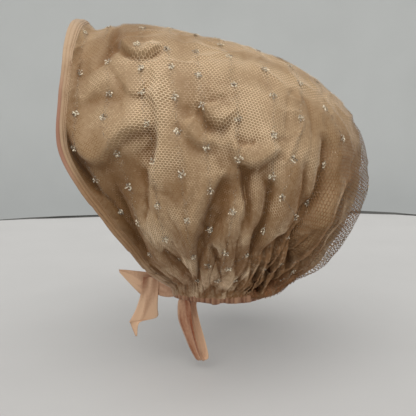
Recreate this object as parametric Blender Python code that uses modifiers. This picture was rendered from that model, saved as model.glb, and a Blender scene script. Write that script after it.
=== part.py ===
"""Hair bonnet of peach satin under spotted net, with a bound face edge and ribbon ties.

Metres, +Z up. The face opening looks towards -Y and the wearer's left is at +X. The origin is
the point inside the crown that rests on the top of the head.
"""

import math

import bmesh
import bpy
import numpy as np

# The bag
BONNET_REACH = 0.292
CROWN_HEIGHT = 0.246
BONNET_WIDTH = 0.258
SATIN_THICKNESS = 0.002
NET_THICKNESS = 0.001
NET_GAP = 0.0005
NET_STAND_OFF = 0.008
CLEARANCE = 0.0003

# The neck edge, an oval that is open between the chin corners
NECK_LENGTH = 0.130
NECK_WIDTH = 0.116
NECK_FRONT = 0.075
CHIN_TURN = math.radians(43.0)
EAR_TURN = math.radians(112.0)
CASING_HEIGHT = 0.009
CASING_THICKNESS = 0.004

# Folds and gathers
FOLD_WIDTH = 0.014
FOLD_RISE = 0.0085
RIGHT_SIDE_FOLDS = 0.8
FOLD_END = 0.25
GATHER_COUNT = 27
GATHER_RISE = 0.0034
GATHER_REACH = 0.050
GATHER_START = 0.35
PUCKER = 0.12

# Trimmings
BINDING_WIDTH = 0.012
BINDING_THICKNESS = 0.001
BINDING_EASE = 0.0006
PIPING_RADIUS = 0.0011
PIPING_SEAT = 0.2
RIBBON_WIDTH = 0.022
RIBBON_THICKNESS = 0.001
KNOT_RADII = (0.0065, 0.0080, 0.0072)
KNOT_FROM_CORNER = (-0.026, -0.030, 0.003)
STRAP_MEETS_KNOT = {"tie_near": (-0.15, 1.0, 0.0), "tie_far": (-1.0, 0.4, 0.0)}
STRAP_SAG = 0.12
LOOP_TURN = math.radians(48.0)
TAIL_LENGTH = 0.054
WING_LENGTH = 0.030
LOOP_DROP = 0.062

# Mesh density
ROWS_BACK = 23
COLUMNS_PER_SIDE = 22
COLUMN_CROWDING = 1.2
FOLD_STEPS = 7
CASING_STEPS = 44
PIPING_SIDES = 5

NECK_EDGE_Z = -(CROWN_HEIGHT - CASING_HEIGHT)

# One row for each arch of the bag, from the face edge back to the nape.
# Columns: share of the way back, ridge y as a share of the reach, ridge z as a share of the
# height, half width as a share of the bag's, forward bow as a share of the reach, squareness.
ARCHES = (
    (0.00, -0.532, 0.092, 0.82, 0.131, 2.0),
    (0.06, -0.470, 0.056, 0.86, 0.115, 2.1),
    (0.12, -0.386, 0.078, 0.90, 0.096, 2.2),
    (0.22, -0.232, 0.070, 0.96, 0.057, 2.2),
    (0.32, -0.100, 0.035, 1.00, 0.022, 2.2),
    (0.42, 0.040, 0.000, 1.00, 0.002, 2.2),
    (0.52, 0.178, -0.063, 1.00, 0.000, 2.2),
    (0.62, 0.312, -0.153, 0.96, 0.006, 2.1),
    (0.72, 0.412, -0.298, 0.88, 0.014, 2.0),
    (0.81, 0.434, -0.498, 0.78, 0.016, 2.0),
    (0.89, 0.393, -0.690, 0.66, 0.014, 2.0),
    (0.95, 0.306, -0.860, 0.55, 0.006, 2.0),
    (1.00, 0.188, -0.963, 0.45, 0.000, 2.0),
)

# One row for each fold of the left side, as a curve through three places on the cloth.
# A place is its share of the way back and its share of the way down from the ridge to the neck.
# Columns: start, middle, end, half width as a share of FOLD_WIDTH, rise as a share of
# FOLD_RISE, where less than nothing is a valley.
FOLDS = (
    ((0.045, 0.49), (0.095, 0.60), (0.095, 0.76), 0.7, -0.55),
    ((0.050, 0.44), (0.100, 0.49), (0.160, 0.46), 1.4, 0.80),
    ((0.160, 0.46), (0.200, 0.44), (0.240, 0.42), 1.2, 0.60),
    ((0.080, 0.57), (0.130, 0.58), (0.190, 0.56), 1.2, -0.90),
    ((0.190, 0.55), (0.220, 0.52), (0.240, 0.49), 0.9, -0.75),
    ((0.150, 0.60), (0.130, 0.67), (0.112, 0.77), 0.9, -0.55),
    ((0.250, 0.28), (0.250, 0.39), (0.260, 0.47), 1.0, 0.50),
    ((0.262, 0.48), (0.280, 0.61), (0.280, 0.76), 1.5, 0.60),
    ((0.225, 0.70), (0.232, 0.76), (0.238, 0.83), 0.7, -0.50),
    ((0.385, 0.60), (0.360, 0.74), (0.350, 0.87), 0.9, -0.90),
    ((0.348, 0.56), (0.330, 0.65), (0.320, 0.75), 0.9, 0.50),
    ((0.430, 0.56), (0.430, 0.67), (0.438, 0.81), 0.9, 0.70),
    ((0.445, 0.55), (0.482, 0.61), (0.510, 0.72), 0.8, -0.80),
    ((0.515, 0.57), (0.535, 0.70), (0.580, 0.84), 0.8, 0.70),
    ((0.540, 0.54), (0.575, 0.62), (0.640, 0.80), 0.8, -1.00),
    ((0.600, 0.49), (0.640, 0.63), (0.690, 0.78), 1.0, 0.80),
    ((0.705, 0.63), (0.710, 0.69), (0.700, 0.76), 0.9, -1.10),
    ((0.642, 0.36), (0.690, 0.46), (0.760, 0.61), 0.9, -0.90),
    ((0.700, 0.36), (0.775, 0.47), (0.840, 0.61), 1.0, 0.60),
    ((0.740, 0.22), (0.810, 0.29), (0.880, 0.45), 1.0, -0.45),
    ((0.340, 0.28), (0.360, 0.36), (0.375, 0.42), 1.8, 0.50),
    ((0.300, 0.45), (0.345, 0.47), (0.390, 0.49), 0.8, -0.40),
    ((0.460, 0.34), (0.475, 0.43), (0.490, 0.49), 2.0, 0.75),
    ((0.430, 0.55), (0.480, 0.57), (0.550, 0.52), 0.8, -0.70),
    ((0.150, 0.12), (0.185, 0.18), (0.220, 0.15), 1.6, 0.55),
    ((0.150, 0.24), (0.185, 0.31), (0.225, 0.28), 0.8, -0.60),
    ((0.125, 0.10), (0.125, 0.20), (0.122, 0.31), 0.9, -0.45),
    ((0.550, 0.25), (0.535, 0.34), (0.557, 0.45), 0.8, -0.40),
)

# The section of the neck casing, from its inner bottom corner over the top and round.
# Columns: how far out as a share of half the thickness, how high as a share of the height.
CASING_SECTION = (
    (-1.00, 0.12),
    (-1.00, 0.88),
    (-0.55, 1.00),
    (0.55, 1.00),
    (1.00, 0.86),
    (1.12, 0.50),
    (1.00, 0.12),
    (0.00, 0.00),
)

# Columns: share of a strap's length, share of the ribbon's width there.
STRAP_SPREAD = (
    (0.00, 0.30),
    (0.30, 0.62),
    (0.60, 0.85),
    (0.85, 0.62),
    (1.00, 0.34),
)

# The rows of the hanging ribbons, each with the places of the ribbon's two edges.
# Columns of a place: forward and down from the knot or the chin corner as shares of the piece's
# own length, and to the side as a share of the ribbon's width.
TAIL_ROWS = (
    ((0.06, -0.18, 0.34), (-0.24, -0.18, 0.37)),
    ((0.09, 0.02, 0.335), (-0.23, 0.02, 0.37)),
    ((0.13, 0.20, 0.34), (-0.21, 0.21, 0.40)),
    ((0.22, 0.46, 0.36), (-0.20, 0.44, 0.30)),
    ((0.33, 0.67, 0.44), (-0.18, 0.62, 0.22)),
    ((0.33, 0.71, 0.30), (0.14, 0.70, 0.40)),
    ((0.23, 0.98, 0.30), (0.20, 0.98, 0.34)),
)
WING_ROWS = (
    ((0.20, -0.48, -0.06), (0.34, 0.27, 0.00)),
    ((0.40, -0.49, -0.08), (0.42, 0.16, 0.06)),
    ((0.72, -0.49, -0.14), (0.74, -0.16, -0.04)),
    ((1.00, -0.49, -0.22), (0.98, -0.41, -0.16)),
)
LOOP_ROWS = (
    ((0.00, 0.00, 0.00), (-0.15, 0.00, 0.32)),
    ((0.03, 0.12, 0.10), (-0.19, 0.12, 0.46)),
    ((0.00, 0.40, 0.14), (-0.20, 0.40, 0.60)),
    ((-0.12, 0.71, 0.30), (-0.30, 0.74, 0.58)),
    ((-0.25, 0.95, 0.40), (-0.37, 0.97, 0.50)),
    ((-0.28, 1.00, 0.28), (-0.42, 1.01, 0.34)),
    ((-0.30, 0.95, 0.14), (-0.47, 0.97, 0.24)),
    ((-0.24, 0.70, -0.02), (-0.45, 0.74, 0.24)),
    ((-0.14, 0.38, -0.10), (-0.37, 0.42, 0.22)),
    ((-0.14, 0.12, 0.02), (-0.33, 0.12, 0.32)),
    ((-0.19, 0.00, 0.38), (-0.31, 0.00, 0.48)),
)


def clear_scene():
    for thing in list(bpy.data.objects):
        bpy.data.objects.remove(thing, do_unlink=True)


def make_material(name, colour, roughness, sheen=0.0):
    material = bpy.data.materials.new(name)
    material.use_nodes = True
    shader = material.node_tree.nodes["Principled BSDF"]
    shader.inputs["Base Color"].default_value = (*colour, 1.0)
    shader.inputs["Roughness"].default_value = roughness
    shader.inputs["Metallic"].default_value = 0.0
    shader.inputs["Sheen Weight"].default_value = sheen
    return material


def smooth_rows(rows, place):
    """Reads every column of a table at a place with a smooth curve through its rows."""
    table = np.array(rows, float)
    keys, values = table[:, 0], table[:, 1:]
    slopes = np.gradient(values, keys, axis=0)
    place = np.clip(np.asarray(place, float), keys[0], keys[-1])
    row = np.clip(np.searchsorted(keys, place, side="right") - 1, 0, len(keys) - 2)
    step = keys[row + 1] - keys[row]
    s = ((place - keys[row]) / step)[..., None]
    step = step[..., None]
    low = (2 * s**3 - 3 * s**2 + 1) * values[row] + (s**3 - 2 * s**2 + s) * step * slopes[row]
    high = (3 * s**2 - 2 * s**3) * values[row + 1] + (s**3 - s**2) * step * slopes[row + 1]
    return low + high


def neck_oval(turn, height):
    """Point of the neck edge. turn is 0 at the middle of the throat and pi at the nape."""
    x = NECK_WIDTH / 2 * np.sin(turn)
    y = -NECK_FRONT + NECK_LENGTH / 2 * (1 - np.cos(turn))
    return np.stack([x, y, np.full_like(x, height)], -1)


def smooth_bag(back, across):
    """The bag without folds. back runs from the face edge (0) to the nape (1), and across from
    the left side's neck edge (-1) over the ridge (0) to the right side's neck edge (1)."""
    back, across = np.broadcast_arrays(np.asarray(back, float), np.asarray(across, float))
    side = np.where(across < 0, 1.0, -1.0)
    columns = smooth_rows(ARCHES, back)
    ridge_y = columns[..., 0] * BONNET_REACH
    ridge_z = columns[..., 1] * CROWN_HEIGHT + SATIN_THICKNESS
    foot = neck_oval(CHIN_TURN + (EAR_TURN - CHIN_TURN) * back, NECK_EDGE_Z)
    half = np.maximum(columns[..., 2] * BONNET_WIDTH / 2, foot[..., 0])
    bow = columns[..., 3] * BONNET_REACH
    square = columns[..., 4]
    start = np.arcsin(np.clip((foot[..., 0] / half) ** (square / 2), 0, 1))
    angle = start + (math.pi - start) * (1 - np.abs(across))
    level = np.sign(np.cos(angle)) * np.abs(np.cos(angle)) ** (2 / square)
    first = np.cos(start) ** (2 / square)
    rise = (first - level) / (1 + first)
    x = half * np.abs(np.sin(angle)) ** (2 / square) * side
    run_y, run_z = ridge_y - foot[..., 1], ridge_z - NECK_EDGE_Z
    run = np.hypot(run_y, run_z)
    # The swell starts late at the neck end, where the cloth runs straight.
    swell = bow * np.sin(math.pi * rise) ** (1 + 1.3 * (1 - rise) ** 1.5)
    y = foot[..., 1] + run_y * rise - run_z / run * swell
    z = NECK_EDGE_Z + run_z * rise + run_y / run * swell
    return np.stack([x, y, z], -1)


def ramp(value, low, high):
    """Smooth step from 0 at low to 1 at high."""
    s = np.clip((value - low) / (high - low), 0, 1)
    return s * s * (3 - 2 * s)


def distance_to_curve(points, curve):
    """Least distance from each point to a chain of segments, and how far along it that is."""
    best = np.full(points.shape[:-1], np.inf)
    along = np.zeros(points.shape[:-1])
    for k, (a, b) in enumerate(zip(curve[:-1], curve[1:])):
        run = b - a
        s = np.clip((points - a) @ run / (run @ run), 0, 1)
        gap = np.linalg.norm(points - a - s[..., None] * run, axis=-1)
        nearer = gap < best
        best = np.where(nearer, gap, best)
        along = np.where(nearer, (k + s) / (len(curve) - 1), along)
    return best, along


def fold_rise(back, across, places):
    """How far the folds lift the cloth off the smooth bag."""
    mirrored = places * np.array([-1.0, 1.0, 1.0])
    left = np.where((across < 0)[..., None], places, mirrored)
    rise = np.zeros(back.shape)
    s = np.linspace(0, 1, FOLD_STEPS)[:, None]
    for *places_on, width, height in FOLDS:
        start, middle, end = np.array(places_on)
        bend = 2 * middle - (start + end) / 2
        route = (1 - s) ** 2 * start + 2 * s * (1 - s) * bend + s**2 * end
        curve = smooth_bag(route[:, 0], -route[:, 1])
        gap, along = distance_to_curve(left, curve)
        ends = 1 - (2 * along - 1) ** 4
        spread = gap / (width * FOLD_WIDTH)
        rise += height * FOLD_RISE * np.exp(-(spread**2)) * (FOLD_END + (1 - FOLD_END) * ends)
    return rise * (1 - (1 - RIGHT_SIDE_FOLDS) * ramp(across, -0.1, 0.1))


def gather_rise(back, across, places):
    """The gathers, which run up from the neck edge and die out."""
    half_turn = EAR_TURN - CHIN_TURN
    rear_turn = math.pi - EAR_TURN
    split = (half_turn * (1 - back)) ** 2 - (rear_turn * (1 - np.abs(across))) ** 2
    turn = EAR_TURN - np.sign(split) * np.sqrt(np.abs(split))
    turn = np.where(across < 0, turn, 2 * math.pi - turn)
    # Slow waves of the turn make the gathers uneven, and the square makes their valleys narrow.
    uneven = 1.1 * np.sin(3 * turn) + 0.7 * np.sin(7 * turn + 1)
    wave = np.sin(GATHER_COUNT * turn + uneven)
    height, _ = distance_to_curve(places, neck_oval(casing_path(CASING_STEPS), NECK_EDGE_Z))
    fade = GATHER_START + (1 - GATHER_START) * ramp(height, 0.0, GATHER_REACH / 3)
    fade = fade * (1 - ramp(height, GATHER_REACH * 0.4, GATHER_REACH * 1.5))
    strength = 0.75 + 0.25 * np.sin(5 * turn + 2)
    return GATHER_RISE * fade * strength * (wave - 0.25 * wave**2)


def stations():
    """Where the mesh's rows and columns lie: the first row behind the face edge is the end of
    the binding, so that the binding is as wide everywhere."""
    s = np.linspace(0, 1, COLUMNS_PER_SIDE + 1) ** COLUMN_CROWDING
    across = np.concatenate([s - 1, (1 - s[::-1])[1:]])
    tries = np.linspace(0, 0.3, 61)
    walk = smooth_bag(tries[:, None], across[None, :])
    length = np.zeros(walk.shape[:2])
    length[1:] = np.cumsum(np.linalg.norm(np.diff(walk, axis=0), axis=-1), axis=0)
    rows = [np.zeros(len(across))]
    for share in (0.5, 1.0):
        width = share * BINDING_WIDTH
        rows.append(np.array([np.interp(width, length[:, k], tries) for k in range(len(across))]))
    first = rows[-1]
    for k in range(1, ROWS_BACK + 1):
        step = k / ROWS_BACK
        rows.append(first + (1 - first) * step)
    back = np.array(rows)
    return back, np.broadcast_to(across, back.shape)


def quads_of(rows, columns, closed=False):
    """The faces of a grid, which join its last column to the first one where it is closed."""
    faces = []
    for i in range(rows - 1):
        for j in range(columns - (0 if closed else 1)):
            right = (j + 1) % columns
            a, b = i * columns + j, i * columns + right
            faces.append((a, a + columns, b + columns, b))
    return faces


def new_object(name, points, faces, material, collection):
    mesh = bpy.data.meshes.new(name)
    mesh.from_pydata([tuple(map(float, p)) for p in points], [], faces)
    shape = bmesh.new()
    shape.from_mesh(mesh)
    bmesh.ops.recalc_face_normals(shape, faces=shape.faces)
    shape.to_mesh(mesh)
    shape.free()
    mesh.materials.append(material)
    mesh.shade_smooth()
    thing = bpy.data.objects.new(name, mesh)
    collection.objects.link(thing)
    return thing


def sheet_object(name, grid, material, collection):
    """An open sheet over a grid of places, whose faces look outwards from the bag."""
    rows, columns = grid.shape[:2]
    mesh = bpy.data.meshes.new(name)
    points = [tuple(map(float, p)) for p in grid.reshape(-1, 3)]
    mesh.from_pydata(points, [], quads_of(rows, columns))
    mesh.materials.append(material)
    mesh.shade_smooth()
    thing = bpy.data.objects.new(name, mesh)
    collection.objects.link(thing)
    return thing


def sheet_normals(thing, shape):
    """The outward direction at each place of a sheet."""
    normals = np.zeros(len(thing.data.vertices) * 3, np.float32)
    thing.data.vertex_normals.foreach_get("vector", normals)
    return normals.reshape(shape).astype(float)


def add_solidify(thing, thickness, outward):
    """Gives a sheet its wall, on its outer or its inner side."""
    solid = thing.modifiers.new("wall", "SOLIDIFY")
    solid.thickness = thickness
    solid.offset = 1.0 if outward else -1.0
    solid.use_rim = True


def build_satin(back, across, material, collection):
    """The gathered bag, which starts flat under the binding."""
    places = smooth_bag(back, across)
    plain = sheet_object("plain_bag", places, material, collection)
    normals = sheet_normals(plain, places.shape)
    bpy.data.objects.remove(plain, do_unlink=True)
    lift = fold_rise(back, across, places) + gather_rise(back, across, places)
    edge_hold = 0.25 + 0.75 * ramp(back, 0.0, 0.10)
    places = places + normals * (lift * edge_hold)[..., None]
    satin = sheet_object("satin_body", places, material, collection)
    normals = sheet_normals(satin, places.shape)
    add_solidify(satin, SATIN_THICKNESS, outward=False)
    return places, normals


def build_net(back, across, satin, normals, material, collection):
    """The net lies on the satin, and stands clear of it round the lower back."""
    behind = ramp(back, 0.66, 0.80) * (1 - ramp(back, 0.93, 1.0))
    middle = 1 - ramp(np.abs(across), 0.15, 0.50)
    gap = NET_GAP + NET_STAND_OFF * behind * middle
    places = satin + normals * gap[..., None]
    net = sheet_object("net_overlay", places, material, collection)
    outward = sheet_normals(net, places.shape)
    add_solidify(net, NET_THICKNESS, outward=True)
    return places, outward


def build_binding(satin, satin_normals, net, net_normals, materials, collection):
    """A strip folded over the face edge of the satin and the net, and the cord along it."""
    out_of_edge = satin[0] - satin[1]
    out_of_edge /= np.linalg.norm(out_of_edge, axis=-1, keepdims=True)
    clear, wall = BINDING_EASE, BINDING_THICKNESS
    outer = NET_THICKNESS + clear
    inner = SATIN_THICKNESS + clear
    sections = []
    for k in range(satin.shape[1]):
        edge = out_of_edge[k]
        up, down = net_normals[:, k], satin_normals[:, k]
        middle = (net[0, k] + up[0] * outer + satin[0, k] - down[0] * inner) / 2
        sections.append(
            (
                net[2, k] + up[2] * (outer + wall),
                net[1, k] + up[1] * (outer + wall),
                net[0, k] + up[0] * (outer + wall) + edge * (clear + wall * 0.4),
                middle + edge * (clear + wall * 1.5),
                satin[0, k] - down[0] * (inner + wall) + edge * (clear + wall * 0.4),
                satin[1, k] - down[1] * (inner + wall),
                satin[1, k] - down[1] * inner,
                satin[0, k] - down[0] * inner + edge * clear,
                net[0, k] + up[0] * outer + edge * clear,
                net[1, k] + up[1] * outer,
                net[2, k] + up[2] * outer,
            )
        )
    points = np.array(sections)
    points[..., 2] = np.maximum(points[..., 2], lowest_edge(satin, net, net_normals))
    count, ring = points.shape[:2]
    faces = quads_of(count, ring, closed=True)
    for first in (0, (count - 1) * ring):
        for corners in ((0, 1, 9, 10), (1, 2, 8, 9), (2, 3, 8), (3, 7, 8), (3, 4, 7), (4, 5, 6, 7)):
            faces.append(tuple(first + c for c in corners))
    new_object("face_binding", points.reshape(-1, 3), faces, materials["binding"], collection)

    lie = PIPING_SEAT * net[1] + (1 - PIPING_SEAT) * net[2]
    up = PIPING_SEAT * net_normals[1] + (1 - PIPING_SEAT) * net_normals[2]
    route = lie + up * (outer + wall + clear + PIPING_RADIUS)
    tube_object("binding_cord", route[1:-1], PIPING_RADIUS, PIPING_SIDES, materials["piping"], collection)


def tube_object(name, route, radius, sides, material, collection):
    """A round cord along a chain of points."""
    run = np.gradient(route, axis=0)
    run /= np.linalg.norm(run, axis=-1, keepdims=True)
    side = np.cross(run, np.array([0.0, 1.0, 0.0]))
    side /= np.linalg.norm(side, axis=-1, keepdims=True)
    up = np.cross(side, run)
    turns = np.linspace(0, 2 * math.pi, sides, endpoint=False)
    rings = [route + radius * (math.cos(a) * side + math.sin(a) * up) for a in turns]
    points = np.stack(rings, 1)
    faces = quads_of(len(route), sides, closed=True)
    faces.append(tuple(range(sides)))
    faces.append(tuple(range((len(route) - 1) * sides, len(route) * sides)))
    return new_object(name, points.reshape(-1, 3), faces, material, collection)


def casing_path(steps):
    """Turns round the neck oval from the left chin corner by the nape to the right one."""
    return np.linspace(CHIN_TURN, 2 * math.pi - CHIN_TURN, steps)


def lowest_edge(satin, net, net_normals):
    """The height of the lowest point of the satin and the net."""
    skin = net + net_normals * NET_THICKNESS
    return min(skin[..., 2].min(), satin[..., 2].min())


def build_casing(top, bottom, material, collection):
    """The band round the neck that holds the gathers, with a soft rounded section."""
    turns = casing_path(CASING_STEPS + 1)
    centre = neck_oval(turns, 0.0)
    run = np.gradient(centre, axis=0)
    run /= np.linalg.norm(run, axis=-1, keepdims=True)
    out = np.cross(np.array([0.0, 0.0, 1.0]), run) * -1
    out[:, 2] = 0.0
    half, height = CASING_THICKNESS / 2, top - bottom
    puckers = 1 + PUCKER * np.sin(GATHER_COUNT * turns)
    rings = []
    for side, level in CASING_SECTION:
        place = centre + out * (side * half * puckers)[:, None]
        place[:, 2] = bottom + level * height
        rings.append(place)
    points = np.stack(rings, 1)
    count, ring = points.shape[:2]
    faces = quads_of(count, ring, closed=True)
    faces.append(tuple(range(ring)))
    faces.append(tuple(range((count - 1) * ring, count * ring)))
    new_object("neck_casing", points.reshape(-1, 3), faces, material, collection)


def ribbon_object(name, rows, material, collection):
    """A strip of ribbon through rows of edge points, half its thickness to either side."""
    grid = np.array(rows)
    mesh_rows, columns = grid.shape[:2]
    thing = new_object(name, grid.reshape(-1, 3), quads_of(mesh_rows, columns), material, collection)
    solid = thing.modifiers.new("wall", "SOLIDIFY")
    solid.thickness = RIBBON_THICKNESS
    solid.offset = 0.0
    return thing


def hanging_rows(rows, start, length):
    """Turns a ribbon's table into edge points: forward is -Y, down is -Z and side is +X."""
    result = []
    for row in rows:
        edges = []
        for forward, down, side in row:
            step = np.array([side * RIBBON_WIDTH, -forward * length, -down * length])
            edges.append(start + step)
        result.append(edges)
    return result


def build_ties(top, bottom, material, collection):
    """The ribbon ends from both chin corners, tied in a bow below the near edge of the face
    opening, and the long loop that hangs from the near corner."""
    level = (top + bottom) / 2
    corner = neck_oval(np.array([CHIN_TURN]), level)[0]
    knot = corner + np.array(KNOT_FROM_CORNER)
    build_knot(knot, material, collection)
    for name, side in (("tie_near", 1.0), ("tie_far", -1.0)):
        end = corner * np.array([side, 1.0, 1.0])
        way = np.array(STRAP_MEETS_KNOT[name])
        reach = 1 / np.linalg.norm(way / np.array(KNOT_RADII)) + 2 * CLEARANCE / np.linalg.norm(way)
        ribbon_object(name, strap_rows(end, knot + way * reach), material, collection)
    ribbon_object("bow_wing", hanging_rows(WING_ROWS, knot, WING_LENGTH), material, collection)
    ribbon_object("bow_tail", hanging_rows(TAIL_ROWS, knot, TAIL_LENGTH), material, collection)
    loop_start = neck_oval(np.array([LOOP_TURN]), bottom - 2 * CLEARANCE)[0]
    ribbon_object("hanging_loop", hanging_rows(LOOP_ROWS, loop_start, LOOP_DROP), material, collection)


def build_knot(knot, material, collection):
    """The knot of the bow, pulled into a flattened ball."""
    bpy.ops.mesh.primitive_uv_sphere_add(segments=12, ring_count=8, radius=1.0, location=knot)
    ball = bpy.context.object
    ball.name = "bow_knot"
    ball.data.name = "bow_knot"
    for vertex in ball.data.vertices:
        for axis, radius in enumerate(KNOT_RADII):
            vertex.co[axis] *= radius
    ball.data.materials.append(material)
    ball.data.shade_smooth()
    for owner in list(ball.users_collection):
        owner.objects.unlink(ball)
    collection.objects.link(ball)


def strap_rows(end, meeting):
    """A strap from the end of the casing to the side of the knot, full width in the middle."""
    run = meeting - end
    length = np.linalg.norm(run)
    run = run / length
    rows = []
    for share, spread in STRAP_SPREAD:
        place = end + run * (CLEARANCE * 2 + (length - CLEARANCE * 2) * share)
        half = np.array([0.0, 0.0, spread * RIBBON_WIDTH / 2])
        drop = np.array([0.0, 0.0, -STRAP_SAG * RIBBON_WIDTH * math.sin(math.pi * share)])
        rows.append((place + half + drop, place - half + drop))
    return rows


def main():
    clear_scene()
    collection = bpy.data.collections.new("hair_bonnet")
    bpy.context.scene.collection.children.link(collection)
    materials = {
        "satin": make_material("peach_satin", (0.53, 0.38, 0.26), 0.42, 0.3),
        "net": make_material("spotted_net", (0.60, 0.50, 0.38), 0.60),
        "binding": make_material("pink_binding", (0.50, 0.29, 0.20), 0.45, 0.3),
        "piping": make_material("pink_piping", (0.62, 0.44, 0.33), 0.45),
        "ribbon": make_material("pink_ribbon", (0.60, 0.36, 0.25), 0.40, 0.3),
    }
    back, across = stations()
    satin, satin_normals = build_satin(back, across, materials["satin"], collection)
    net, net_normals = build_net(back, across, satin, satin_normals, materials["net"], collection)
    build_binding(satin, satin_normals, net, net_normals, materials, collection)
    top = lowest_edge(satin, net, net_normals) - CLEARANCE
    bottom = top - CASING_HEIGHT
    build_casing(top, bottom, materials["binding"], collection)
    build_ties(top, bottom, materials["ribbon"], collection)


main()
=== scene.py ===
"""Dresses the hair bonnet: gathered peach satin under spotted net, a bound face edge, a puckered
neck casing and ribbon ties. Metres, +Z up, face opening towards -Y, wearer's left at +X."""

import functools
import math

import bpy
import numpy as np
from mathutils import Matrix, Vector


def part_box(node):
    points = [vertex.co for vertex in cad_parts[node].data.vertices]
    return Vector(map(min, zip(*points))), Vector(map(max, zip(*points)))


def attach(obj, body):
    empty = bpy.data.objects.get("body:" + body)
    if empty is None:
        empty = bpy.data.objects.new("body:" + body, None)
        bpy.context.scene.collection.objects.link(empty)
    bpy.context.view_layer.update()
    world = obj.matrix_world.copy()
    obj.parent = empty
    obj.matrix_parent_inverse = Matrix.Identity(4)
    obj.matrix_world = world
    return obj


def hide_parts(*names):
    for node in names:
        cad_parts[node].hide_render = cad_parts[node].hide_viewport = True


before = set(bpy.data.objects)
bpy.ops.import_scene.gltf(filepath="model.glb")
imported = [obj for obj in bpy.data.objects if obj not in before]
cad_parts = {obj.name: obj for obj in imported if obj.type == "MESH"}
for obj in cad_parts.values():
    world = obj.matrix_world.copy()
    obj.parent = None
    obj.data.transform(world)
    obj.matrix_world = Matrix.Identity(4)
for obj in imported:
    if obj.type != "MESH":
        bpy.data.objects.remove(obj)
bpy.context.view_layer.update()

bl_info = {
    "name": "Hair bonnet of satin and spotted net",
    "version": (1, 0, 0),
    "blender": (4, 5, 0),
    "location": "View3D > Sidebar > Bonnet",
    "description": "Makes the cloth, net, glitter flowers, trimmings and studio of a hair bonnet",
    "category": "Object",
}

# Sizes of the bag and its neck edge, which the solids have too
BONNET_REACH = 0.292
CROWN_HEIGHT = 0.246
BONNET_WIDTH = 0.258
SATIN_THICKNESS = 0.002
NECK_LENGTH = 0.130
NECK_WIDTH = 0.116
NECK_FRONT = 0.075
CHIN_TURN = math.radians(43.0)
EAR_TURN = math.radians(112.0)
CASING_HEIGHT = 0.009
NECK_EDGE_Z = -(CROWN_HEIGHT - CASING_HEIGHT)

# How far the hem of the cloth reaches down into the casing
SKIRT = 0.007

# How much higher the casing lies at the nape, and the share of that which the cloth above it takes
NAPE_LIFT = 0.0055
CLOTH_LIFT = 0.2

# Folds, gathers and puckers. The folds of the right side are a share of the left side's height.
FOLD_WIDTH = 0.014
FOLD_RISE = 0.0085
EDGE_RISE = 0.0125
RIGHT_SIDE_FOLDS = 0.8
GATHER_COUNT = 27
GATHER_RISE = 0.0034
GATHER_REACH = 0.050
FINE_GATHER_RISE = 0.0030
FINER_GATHER_RISE = 0.0007
CASING_SIDES = 20
CASING_SWELL = 0.0022
CASING_PUCKER = 0.0009
CASING_SAG = 0.0022

# Ribbons. A tie sags by a share of its width and ends inside the knot, at a share of the radius.
KNOT_RADII = (0.0065, 0.0080, 0.0072)
KNOT_FROM_CORNER = (-0.026, -0.030, 0.003)
RIBBON_WIDTH = 0.022
RIBBON_THICKNESS = 0.0005
STRAP_SAG = 0.12
STRAP_IN_KNOT = 0.7
TAIL_LENGTH = 0.054
WING_LENGTH = 0.030
LOOP_DROP = 0.062
LOOP_TURN = math.radians(48.0)
LOOP_IN_CASING = 0.0035

# How much closer the net's cells lie for each metre below the ridge
NET_CROWDING = 2.9

# The puff where the net catches the light, as its place back and down and its reach back and down
BRIGHT_SPOT = (0.234, 0.41, 0.03, 0.07)

# Columns: share of the way back, ridge y as a share of the reach, ridge z as a share of the
# height, half width as a share of the bag's, forward bow as a share of the reach, squareness.
ARCHES = (
    (0.00, -0.525, 0.090, 0.84, 0.129, 2.1),
    (0.03, -0.500, 0.084, 0.85, 0.122, 2.1),
    (0.065, -0.466, 0.046, 0.86, 0.114, 2.1),
    (0.12, -0.386, 0.065, 0.90, 0.096, 2.2),
    (0.22, -0.232, 0.054, 0.96, 0.057, 2.2),
    (0.32, -0.100, 0.020, 1.00, 0.022, 2.2),
    (0.42, 0.040, -0.017, 1.00, 0.002, 2.2),
    (0.52, 0.178, -0.079, 1.00, 0.000, 2.2),
    (0.62, 0.308, -0.174, 0.96, 0.006, 2.1),
    (0.72, 0.410, -0.308, 0.88, 0.014, 2.0),
    (0.81, 0.434, -0.498, 0.78, 0.016, 2.0),
    (0.89, 0.393, -0.690, 0.66, 0.014, 2.0),
    (0.95, 0.306, -0.860, 0.55, 0.006, 2.0),
    (1.00, 0.188, -0.963, 0.45, 0.000, 2.0),
)

# How far the face edge bends out from its smooth bow: share of the way up, then the distance as a
# share of the reach. The bends fade out at a share of the way back.
FACE_BENDS = (
    (0.00, 0.002), (0.10, 0.019), (0.25, 0.000), (0.35, -0.010), (0.45, 0.000), (0.60, 0.016),
    (0.70, 0.000), (0.80, -0.010), (0.90, -0.006), (1.00, 0.000),
)
FACE_BENDS_END = 0.22

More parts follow.
